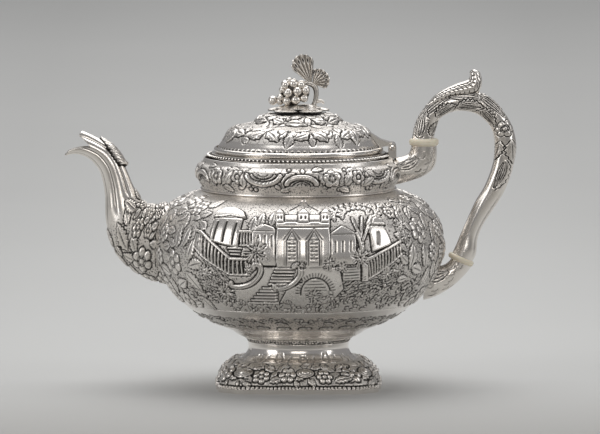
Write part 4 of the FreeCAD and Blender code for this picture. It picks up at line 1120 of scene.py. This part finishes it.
def rosette_layer(name, radius, z, drop, lobes, turn):
    """Ring of broad leaves whose tips curl down onto the lid."""
    phi, share = np.meshgrid(whole_turn(240), np.linspace(0.02, 1, 40))
    lobe = np.abs(np.cos(lobes * (phi - turn) / 2))
    edge = radius * (0.55 + 0.45 * lobe**0.45) * (1 + 0.03 * np.cos(9 * lobes * phi))
    r = edge * share
    vein = np.exp(-(np.sin(lobes * (phi - turn) / 2) / 0.06)**2)
    top = z - drop * share**2.2 + 0.8 * lobe * np.sin(math.pi * share) - 0.5 * vein * share
    points = np.stack([r * np.cos(phi), r * np.sin(phi), top], axis=-1)
    under = points[::-1] - (0, 0, 0.9)
    recess = np.clip(0.7 * vein + 0.9 * (1 - lobe)**3, 0, 1)
    marks = {"recess": np.concatenate([recess, recess * 0 + 1]), "matte": np.zeros((2 * len(r), r.shape[1]))}
    rosette = grid_object(name, np.concatenate([points, under]), marks, grape_silver)
    fit(rosette, "lid", "cast_silver", "finial_leaf_base")


leaf_r = base_high[0]
rosette_layer("finial_rosette_low", 1.1 * leaf_r, spray_z - 0.4, 1.8, 5, 0.3)
rosette_layer("finial_rosette_top", 0.8 * leaf_r, spray_z + 0.8, 1.4, 5, 0.9)

# ---- Foot -------------------------------------------------------------------
# A cast square flange, pierced between its leaves and rosettes, on a plain strip with scalloped
# edges. A spool with engraved leaf tips joins it to the bowl under a beaded moulding.

plate_low, plate_high = box_mm("foot_plate")
pedestal_low, pedestal_high = box_mm("pedestal")
moulding_low, moulding_high = box_mm("base_band")
strip_top = plate_low[2]
strip_high = box_mm("foot_edge_band")[1]
foot_lobes, lobe_depth, corner_power = 20, 1.1, 5.0
foot_half = strip_high[0] - lobe_depth
spool_r = pedestal_high[0]


def foot_radius(angle, half, power, lobe):
    c, s = np.abs(np.cos(angle)), np.abs(np.sin(angle))
    return half / (c**power + s**power)**(1 / power) + lobe * np.cos(foot_lobes * angle)


# Height, distance in from the edge, squareness and scallop.
foot_h = plate_high[2] - strip_top
foot_points = [
    (0.0, 0.0, 5.0, 1.1), (0.22 * foot_h, 0.9, 4.85, 0.8), (0.50 * foot_h, 3.4, 4.6, 0.4),
    (0.80 * foot_h, 8.2, 4.3, 0.1), (0.98 * foot_h, 12.0, 3.4, 0.0), (foot_h, foot_half - spool_r, 2.0, 0.0),
]
foot_line = smooth_line(foot_points, 0.42)
foot_run = run_length(foot_line[:, :2])
foot_work = Relief(foot_half, foot_run[-1], 0.4, seed=41)


def foot_ornament(work):
    """Oval rosettes and leaves by turns, with a row of scallops along the edge."""
    work.matte[:] = 0.6
    work.under = True
    corners = 8
    for k in range(corners):
        x = work.width * k / corners
        work.flower(x - 8.0, 0.47 * work.tall, 6.2, 6, 1.5, k)
        work.flower(x + 18.0, 0.40 * work.tall, 5.2, 6, 1.4, k)
        for share in (1.0, 0.68, 0.40):
            work.under = share == 1.0
            work.dome(x + 5.0, 0.55 * work.tall, 6.4 * share, 3.8 * share, 1.5, moat=0.8)
        work.under = True
        for dx, up, turn in (
            (-2, 0.30, 0.4), (12, 0.36, 2.4), (26, 0.62, 2.6), (10, 0.70, 0.3), (-16, 0.60, 0.5), (24, 0.24, 0.2),
        ):
            work.leaf(x + dx, up * work.tall, turn, 11.0, 5.0, 1.0, 5, 0.3, 0.6)
    work.spray((0, 0.14 * work.tall, work.width, 0.76 * work.tall), 0, 4.4, 0.9)
    tips, teeth = 22, 150
    for k in range(tips):
        x, tip = work.width * (k + 0.3) / tips, (0.98 if k % 2 else 0.92) * work.tall
        for side in (-3.4, 3.4):
            path = [(x + 0.4 * side, 0.76 * work.tall), (x + side, 0.84 * work.tall), (x + 0.3 * side, tip)]
            work.cut(path, 0.5, 0.5)
    for k in range(teeth):
        work.dome(work.width * (k + 0.5) / teeth, 0.9, 0.95, 1.1, 0.9, moat=0.6)


foot_ornament(foot_work)
foot_angles = whole_turn(800)
reach = np.array([foot_radius(foot_angles, foot_half - inwards, power, lobe) for _, inwards, power, lobe in foot_line])
around_it = np.tile(foot_angles, (len(reach), 1))
levels = strip_top + np.repeat(foot_line[:, :1], len(foot_angles), axis=1)
surface = np.stack([reach * np.sin(around_it), -reach * np.cos(around_it), levels], axis=-1)
normal = np.cross(np.roll(surface, -1, axis=1) - np.roll(surface, 1, axis=1), np.gradient(surface, axis=0))
normal /= np.linalg.norm(normal, axis=-1, keepdims=True)
if normal[..., 2].mean() < 0:
    normal = -normal
place_x = foot_work.width * around_it / (2 * math.pi)
place_y = np.repeat(foot_run[:, None], len(foot_angles), axis=1)
top = surface + normal * foot_work.read(foot_work.height, place_x, place_y)[..., None]
foot_wall = 1.5
under = (surface - foot_wall * normal)[::-8]
under[-1] = surface[0] - foot_wall * np.stack([np.sin(foot_angles), -np.cos(foot_angles), 0 * foot_angles], axis=-1)
foot_marks = {}
for mark, layer in (("recess", foot_work.recess()), ("matte", foot_work.matte)):
    foot_marks[mark] = np.concatenate([foot_work.read(layer, place_x, place_y), np.full(under.shape[:2], 0.4)])
foot = grid_object("foot_flange", np.concatenate([top, under]), foot_marks, cast_silver, wrap_rows=True)


def reworked(mesh, weld=0.0):
    """Turn a mesh's faces into triangles, and join what lies closer together than weld, in metres."""
    shape = bmesh.new()
    shape.from_mesh(mesh)
    bmesh.ops.triangulate(shape, faces=shape.faces)
    if weld:
        bmesh.ops.remove_doubles(shape, verts=shape.verts, dist=weld)
        bmesh.ops.dissolve_degenerate(shape, dist=weld, edges=shape.edges)
    shape.to_mesh(mesh)
    shape.free()


def pierce(piece, holes, size):
    """Cut oval holes straight down through a piece. A hole is its place and the direction of its long side."""
    reworked(piece.data)
    punch = bmesh.new()
    for x, y, turn in holes:
        made = bmesh.ops.create_cone(
            punch, cap_ends=True, segments=16, radius1=size * MM, radius2=size * MM, depth=60 * MM,
        )
        bmesh.ops.scale(punch, vec=(1.7, 1.0, 1.0), verts=made["verts"])
        bmesh.ops.rotate(punch, cent=(0, 0, 0), matrix=Matrix.Rotation(turn, 3, "Z"), verts=made["verts"])
        bmesh.ops.translate(punch, vec=(x * MM, y * MM, 10 * MM), verts=made["verts"])
    mesh = bpy.data.meshes.new("punch")
    punch.to_mesh(mesh)
    punch.free()
    tool = bpy.data.objects.new("punch", mesh)
    scene.collection.objects.link(tool)
    cut = piece.modifiers.new("pierced", "BOOLEAN")
    cut.object, cut.operation, cut.solver = tool, "DIFFERENCE", "MANIFOLD"
    made = bpy.data.meshes.new_from_object(piece.evaluated_get(bpy.context.evaluated_depsgraph_get()))
    piece.modifiers.clear()
    reworked(made, 1e-7)
    piece.data = made
    bpy.data.objects.remove(tool)


holes = []
for side in range(4):
    for offset, inwards in ((-36, 9.0), (-20, 8.5), (-7, 6.0), (7, 12.0), (20, 7.5), (36, 9.0), (45, 14.0)):
        a = math.radians(90 * side + offset)
        r = foot_radius(a, foot_half, corner_power, 0) - inwards
        holes.append((r * math.cos(a), r * math.sin(a), a + math.pi / 2))
pierce(foot, holes, 1.5)
fit(foot, "pot", "cast_silver", "foot_plate")

edge_angles = foot_angles[::4]
edge_r = foot_radius(edge_angles, foot_half + 0.2, corner_power, lobe_depth)
edge_points = [edge_r * np.sin(edge_angles), -edge_r * np.cos(edge_angles), np.full(len(edge_r), strip_top)]
edge_loop = [(k, (k + 1) % len(edge_r)) for k in range(len(edge_r))]
scallop = {"Count": 150, "Length": 1.0 * MM, "Width": 0.7 * MM, "Lean": 0.0}
scallops = beading.make("foot_scallops", np.column_stack(edge_points), edge_loop, scallop)
fit(scallops, "pot", "plain_silver")

stem_r = 34.0
spool_h = pedestal_high[2] - pedestal_low[2]
spool_points = [(stem_r + share * (spool_r - stem_r), pedestal_low[2] + up * spool_h) for share, up in
                ((1.0, 0.0), (0.40, 0.187), (0.10, 0.447), (0.0, 0.717), (0.1, 1.0))]
spool_line = smooth_line(spool_points, 0.5)
spool_work = Relief(stem_r, run_length(spool_line)[-1], 0.4, seed=43)
spool_leaves = 14
for k in range(spool_leaves):
    x = spool_work.width * (k + 0.2) / spool_leaves
    tip = 9.5 if k % 2 else 7.5
    for side in (-1, 1):
        spool_work.cut([(x, 0.5), (x + side * 2.8, 0.45 * tip), (x + side * 1.2, tip)], 0.55, 0.4)
    spool_work.cut([(x - 1.2, tip), (x + 1.2, tip)], 0.5, 0.4)
    for lean in (-0.6, 0.0, 0.6):
        spool_work.cut([(x + lean, 1.0), (x + 1.6 * lean, 0.75 * tip)], 0.4, 0.22)
    spool_work.cut([(x + 5.4, 0.6), (x + 6.0, 4.5), (x + 7.4, 7.2)], 0.5, 0.4)
spool_inner = smooth_line(spool_line[::6], 2.5)[::-1] - (sheet, 0)
spool = turned("pedestal_spool", spool_line, spool_inner, spool_work, plain_silver, 480)
fit(spool, "pot", "plain_silver", "pedestal")

joint_r = moulding_high[0]
moulding_h = moulding_high[2] - moulding_low[2]
moulding_points = [(0.86, 0.0), (0.885, 0.18), (0.875, 0.42), (0.93, 0.62), (1.0, 0.80), (0.985, 1.0)]
moulding_line = smooth_line(np.array(moulding_points) * (joint_r, moulding_h) + (0, moulding_low[2]), 0.35)
moulding_work = Relief(joint_r, run_length(moulding_line)[-1], 0.4, seed=45)
moulding_work.matte[:] = 0.8
moulding_work.foliage(0, moulding_work.width, lambda x: (0.0, 3.2), 2.6, 0.5, 0.9)
moulding_inner = np.array([(0.80 * joint_r, moulding_high[2]), (0.80 * joint_r, moulding_low[2])])
moulding = turned("base_moulding", moulding_line, moulding_inner, moulding_work, cast_silver, 420)
fit(moulding, "pot", "cast_silver", "base_band")
bead_path = ring_path(0.905 * joint_r, moulding_low[2] + 0.52 * moulding_h)
base_beads = beading.make("base_beads", *bead_path, {"Count": 120, "Length": 0.8 * MM, "Width": 0.7 * MM, "Lean": 0.0})
fit(base_beads, "pot", "cast_silver")

# ---- Spout ------------------------------------------------------------------
# Two castings soldered into one curved spout: crowded flowers at its root, long flutes up its neck,
# an open beak, and a leaf laid over the top behind the beak.

belly_z = shell_low[2] + bowl_line[-1][1] * shell_h
rim_z = collar_high[2]


def spout_place(blend, out, up):
    return -(belly_r + out), (1 - blend) * belly_z + blend * rim_z + up


# Height from belly (0) to rim (1), upper edge out and up, lower edge out and up, half width.
spout_shape = [
    (0.00, (-14.8, 32.6), (-11.8, -23.6), 20.0), (0.05, (-6.8, 28.1), (0.8, -23.3), 19.0),
    (0.12, (-0.8, 23.3), (13.2, -21.8), 17.4), (0.20, (4.2, 19.2), (23.0, -17.2), 15.4),
    (0.30, (8.8, 16.9), (29.2, -12.1), 13.2), (0.45, (13.2, 15.1), (32.0, -7.7), 11.0),
    (0.65, (17.2, 12.0), (32.5, -3.5), 9.5), (0.85, (20.9, 7.6), (35.0, -3.1), 8.7),
    (0.95, (24.2, 6.2), (38.6, -2.9), 8.2), (1.00, (28.4, 7.3), (43.7, -1.1), 7.8),
    (1.00, (36.2, 12.2), (51.0, 1.8), 7.0), (1.00, (43.7, 16.0), (56.2, 1.6), 5.8),
    (1.00, (48.2, 17.8), (59.6, 0.4), 5.0),
]
spout_stations = [(spout_place(b, *top), spout_place(b, *low), half) for b, top, low, half in spout_shape]
spout_line = smooth_line([(*near, *far, half) for near, far, half in spout_stations], 0.55)
spout_run = run_length(spout_line)
spout_r = 13.0
girth = (np.linalg.norm(spout_line[:, :2] - spout_line[:, 2:4], axis=1) / 2 + spout_line[:, 4]) / 2
spout_work = Relief(
    spout_r, spout_run[-1], 0.38, seed=51, squeeze=lambda y: float(np.interp(y, spout_run, girth)) / spout_r,
)


def mirror(work):
    """Copy the near side's work to the far side."""
    for layer in (work.height, work.matte, work.taken):
        half = layer.shape[1] // 2
        layer[:, :half] = layer[:, ::-1][:, :half]


def spout_ornament(work):
    """Flutes on the neck, broad leaves below them and flowers crowded over the root."""
    near = 0.75 * work.width
    flute_start = 0.42 * work.tall
    rows, cols = np.mgrid[0: work.rows, 0: work.cols].astype(float) * work.step
    phi = 2 * math.pi * cols / work.width
    rise = np.clip((rows - flute_start) / 14, 0, 1) * np.clip((work.tall - rows) / 12 + 0.25, 0, 1)
    work.height += (1.1 * rise * (np.abs(np.sin(3.5 * (phi - math.pi)))**0.6 - 0.75)).astype(np.float32)
    work.matte[:] = 0.9 * np.clip((flute_start + 4 - rows) / 8, 0, 1)
    work.under = True
    for dx, y, radius in (
        (8, 0.165, 9.0), (-3, 0.26, 6.5), (-13, 0.20, 6.5), (-15, 0.31, 5.5), (-19, 0.10, 7.0), (-4, 0.08, 6.0),
    ):
        work.flower(near + dx, y * work.tall, radius, 6, 1.4, dx)
    for dx, y, turn, length, width in (
        (-8, 0.345, 1.35, 20, 8.5), (8, 0.26, 1.75, 24, 10), (17, 0.33, 1.5, 17, 7), (-17, 0.36, 1.6, 16, 7),
        (0, 0.335, 1.9, 15, 7), (18, 0.22, 1.5, 18, 8),
    ):
        work.leaf(near + dx, y * work.tall, turn, length, width, 1.1, 6, 0.1, 0.7)
    work.spray((0.5 * work.width, 0, work.width, 0.36 * work.tall), 50, 7.0, 1.1)
    mirror(work)


spout_ornament(spout_work)
# The mouth is cut back at both sides, which leaves a lip above and a beak below.
spout_columns, side_cut, cut_angle = 168, 0.115, math.radians(40)
beside = np.abs(np.abs(whole_turn(spout_columns) - math.pi) - 0.5 * math.pi)
beak = 1 - side_cut * np.clip(1 - beside / cut_angle, 0, 1)
spout = limb("spout", spout_stations, 0.55, spout_columns, spout_work, cast_silver, sheet, beak)
fit(spout, "pot", "cast_silver", "spout_near_half", "spout_far_half")


def lip_leaf(name, start, end, half_angle, finish):
    """Leaf bent over the spout's upper side, pointed at both ends."""
    u, v = np.meshgrid(np.linspace(0, 1, 90), np.linspace(-1, 1, 61), indexing="ij")
    width = half_angle * np.sin(math.pi * u**0.75)**0.5 * (1 + 0.05 * np.cos(2 * math.pi * 9 * u)) * (1 - 0.25 * u)
    points, normal, _ = limb_surface(spout_line, start + (end - start) * u, math.pi + width * v)
    vein = np.exp(-(v / 0.10)**2) + 0.5 * np.clip(np.cos(2 * math.pi * (7 * u - 2.4 * np.abs(v))), 0, 1)**4
    rise = 1.9 * np.sqrt(np.clip(1 - 0.8 * v**2, 0, 1)) - 0.6 * vein + 1.2 * np.clip(0.12 - u, 0, 1) / 0.12
    front, back = points + normal * rise[..., None], points - 0.3 * normal
    marks = {"recess": np.concatenate([np.clip(0.8 * vein + np.abs(v)**8, 0, 1), np.ones(u.shape)], axis=1)}
    marks["matte"] = np.zeros(marks["recess"].shape)
    return grid_object(name, np.concatenate([front, back[:, ::-1]], axis=1), marks, finish)


fit(lip_leaf("spout_laid_leaf", 0.665, 0.90, 1.15, cast_silver), "pot", "cast_silver", "spout_lip_leaf")

# ---- Handle -----------------------------------------------------------------
# A hollow grip between two sockets, kept cool by ivory rings that are tenoned and riveted into both.
# Leaves and a flower are engraved down its outer side, and a scroll for the thumb lies on top.


def handle_place(blend, out, up):
    return (1 - blend) * belly_r + blend * collar_r + out, (1 - blend) * belly_z + blend * rim_z + up


def handle_stations(rows):
    return [(handle_place(b, *near), handle_place(b, *far), half) for b, near, far, half in rows]


upper_socket_shape = [
    (1.00, (-4.8, -0.8), (-4.2, -19.2), 8.1), (1.00, (-2.8, -0.6), (-1.8, -18.8), 8.2),
    (1.00, (2.0, 0.4), (8.7, -15.9), 8.0), (1.00, (4.8, 2.0), (17.2, -12.3), 8.0),
    (1.00, (6.1, 4.2), (22.6, -7.0), 8.0), (1.00, (6.6, 6.2), (24.1, -0.2), 8.0),
    (1.00, (6.8, 9.0), (24.1, 9.0), 7.9),
]
grip_shape = [
    (1.00, (22.4, 11.2), (7.0, 11.2), 7.0), (1.00, (23.0, 17.7), (8.8, 19.7), 6.7),
    (1.00, (25.2, 23.8), (13.0, 29.7), 6.5), (1.00, (29.8, 28.4), (20.7, 37.8), 6.5),
    (1.00, (36.7, 30.6), (32.2, 43.4), 6.5), (1.00, (43.7, 30.8), (45.2, 45.0), 6.6),
    (1.00, (50.7, 28.9), (56.2, 42.4), 6.6), (1.00, (57.2, 24.6), (66.2, 34.5), 6.6),
    (1.00, (61.6, 17.6), (74.2, 23.2), 6.6), (1.00, (63.2, 9.2), (77.9, 10.7), 6.8),
    (1.00, (63.0, -0.3), (77.4, -0.8), 6.6), (0.85, (56.4, -0.2), (70.3, -2.7), 6.4),
    (0.65, (46.1, 1.5), (59.7, -2.0), 6.2), (0.50, (36.0, 1.6), (48.7, -3.1), 6.0),
    (0.35, (26.4, -0.3), (37.2, -4.5), 5.6), (0.20, (17.4, -1.3), (28.8, -4.8), 5.5),
    (0.00, (8.2, 3.2), (21.8, -2.7), 6.4), (0.00, (5.1, -3.3), (18.4, -9.5), 6.6),
]
lower_socket_shape = [
    (0.00, (6.2, -3.6), (19.8, -9.7), 6.8), (0.00, (3.8, -7.4), (17.0, -13.8), 6.8),
    (0.00, (0.8, -9.8), (12.2, -19.1), 7.0), (0.00, (-2.8, -11.0), (4.7, -25.7), 7.6),
    (0.00, (-7.8, -11.0), (-5.3, -31.5), 8.6), (0.00, (-12.8, -11.0), (-14.0, -34.5), 9.1),
]
thumb_shape = [
    (1.0, (18.2, 34.4), (18.0, 36.2), 2.6), (1.0, (24.6, 35.8), (23.2, 42.0), 5.2),
    (1.0, (34.4, 40.6), (30.0, 46.4), 5.8), (1.0, (44.6, 41.4), (38.6, 50.0), 5.6),
    (1.0, (52.4, 43.6), (44.6, 52.0), 5.0), (1.0, (54.8, 50.6), (46.4, 54.0), 4.4),
    (1.0, (53.4, 57.0), (46.4, 57.2), 3.4), (1.0, (49.8, 59.6), (47.4, 58.8), 2.0),
]
handle_silver = silver_finish("handle_silver", 0.17, 1.7, 1.0)
limb_r = 7.0


def streaks(work, x, y, turn, length, width, count):
    """Long engraved lines that fan out and close again along a leaf."""
    c, s = math.cos(turn), math.sin(turn)
    for k in range(count):
        side = width * ((k + 0.5) / count - 0.5)
        fan = ((0.08, 0.5), (0.4, 1.0), (0.9, 0.35))
        path = [(x + a * length * c - side * f * s, y + a * length * s + side * f * c) for a, f in fan]
        work.cut([tuple(p) for p in smooth_line(path, 2.0)], 0.5, 0.42)


def grip_ornament(work):
    """Overlapping leaves from the ring to the flower, and two more that taper out below it."""
    near = 0.77 * work.width
    for y, dx, turn, length, width in (
        (0.01, 2, 1.45, 27, 13), (0.02, -6, 1.75, 20, 8), (0.085, 4, 1.55, 34, 15), (0.11, -5, 1.5, 28, 10),
        (0.19, 5, 1.62, 36, 15), (0.22, -5, 1.45, 30, 10), (0.30, 5, 1.55, 32, 14), (0.33, -4, 1.6, 26, 10),
    ):
        work.leaf(near + dx, y * work.tall, turn, length, width, 0.55, 7, 0.15, 0.9)
        streaks(work, near + dx, y * work.tall, turn, length, 0.7 * width, 5)
    work.leaf(near, 0.575 * work.tall, 1.62, 32, 11, 0.45, 6, -0.1, 0.7)
    streaks(work, near, 0.575 * work.tall, 1.62, 32, 7, 5)
    work.leaf(near + 3.5, 0.50 * work.tall, 1.45, 22, 10, 0.5, 5, 0.1, 0.7)
    work.leaf(near - 4.0, 0.50 * work.tall, 1.8, 20, 8, 0.5, 5, 0.1, 0.7)
    work.flower(near + 1.0, 0.455 * work.tall, 7.6, 6, 0.8, 0.3)
    rows = np.arange(work.rows)[:, None] * work.step
    phi = 2 * math.pi * np.arange(work.cols)[None, :] / work.cols
    plain = np.clip((rows - 0.68 * work.tall) / 20, 0, 1) * np.clip((0.98 * work.tall - rows) / 10, 0, 1)
    work.height -= (0.35 * plain * np.abs(np.cos(2 * (phi - 0.9)))**6).astype(np.float32)
    mirror(work)


def engraved(name, shape, spacing, columns, finish, seed, ornament):
    stations = handle_stations(shape)
    line = smooth_line([(*near, *far, half) for near, far, half in stations], spacing)
    work = Relief(limb_r, run_length(line)[-1], 0.36, seed=seed)
    ornament(work)
    return limb(name, stations, spacing, columns, work, finish)


def socket_ornament(work):
    """Bark-like lines that run out from the body, and a leaf along the side."""
    near = 0.75 * work.width
    for k in range(34):
        x = 0.5 * work.width + 0.5 * work.width * work.random.random()
        y = work.tall * (0.05 + 0.75 * work.random.random())
        work.cut([(x, y), (x + 0.8, y + 3.0), (x, y + 6.0)], 0.38, 0.2)
    streaks(work, near - 2, 0.08 * work.tall, 1.6, 0.6 * work.tall, 7, 4)
    mirror(work)


def lower_socket_ornament(work):
    socket_ornament(work)
    work.height, work.matte = work.height[::-1].copy(), work.matte[::-1].copy()


def thumb_ornament(work):
    """A deep groove down each side of the scroll and slanted cuts towards its edge."""
    for share in (0.5, 0.62, 0.88, 1.0):
        x = share * work.width
        work.cut([(x, 3.0), (x, 0.9 * work.tall)], 0.6, 0.5)
    for k in range(14):
        y = 4 + 0.066 * k * work.tall
        work.cut([(0.76 * work.width, y + 3.5), (0.90 * work.width, y)], 0.5, 0.45)
        work.cut([(0.70 * work.width, y + 3.0), (0.60 * work.width, y)], 0.4, 0.3)
    mirror(work)


grip = engraved("handle_grip_engraved", grip_shape, 0.42, 140, handle_silver, 61, grip_ornament)
fit(grip, "pot", "handle_silver", "handle_grip")
upper_socket = engraved("handle_upper_socket", upper_socket_shape, 0.45, 120, cast_silver, 62, socket_ornament)
fit(upper_socket, "pot", "cast_silver", "upper_handle_socket")
lower_socket = engraved("handle_lower_socket", lower_socket_shape, 0.45, 120, cast_silver, 63, lower_socket_ornament)
fit(lower_socket, "pot", "cast_silver", "lower_handle_socket")
thumb = engraved("handle_thumb_scroll", thumb_shape, 0.4, 100, handle_silver, 64, thumb_ornament)
fit(thumb, "pot", "cast_silver", "thumb_leaf")

# ---- Rings, hinge and plain fittings ------------------------------------------
# Old ivory rings, cream and faintly grained, and the plain wires, pins and rivets of polished
# silver, which keep the shapes that they were turned and filed to.


def ivory_finish():
    finish = Finish("ivory")
    grain = finish.add("ShaderNodeTexWave", {"wave_type": "RINGS"}, {
        "Vector": finish.place, "Scale": 260.0, "Distortion": 3.0, "Detail": 3.0,
    })
    cloud = finish.noise(140.0, 3.0)
    colour = finish.mix(cloud, (0.90, 0.84, 0.70), (0.80, 0.71, 0.54))
    colour = finish.mix(0.15 * grain, colour, (0.50, 0.38, 0.22))
    bump = finish.add("ShaderNodeBump", {}, {"Strength": 0.15, "Distance": 0.0001, "Height": grain})
    return finish.surface({
        "Base Color": colour, "Roughness": 0.32 + 0.12 * cloud, "Normal": bump,
        "Subsurface Weight": 0.12, "Subsurface Radius": (0.9, 0.6, 0.35), "Subsurface Scale": 0.002,
    })


ivory = ivory_finish()
inner_silver = silver_finish("inner_silver", 0.34, 1.0, 1.0)
finishes = {
    plain_silver: [
        "foot_edge_band", "neck_wire", "mouth_ring", "handle_rivets", "hinge_bracket", "hinge_pin", "lid_rim",
    ],
    cast_silver: ["lid_hinge_leaf"],
    inner_silver: ["lid_bezel", "finial_stud", "finial_washer", "finial_nut"],
    ivory: ["upper_ivory_ring", "lower_ivory_ring"],
}
for finish, nodes in finishes.items():
    for node in nodes:
        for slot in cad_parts[node].material_slots:
            slot.material = finish
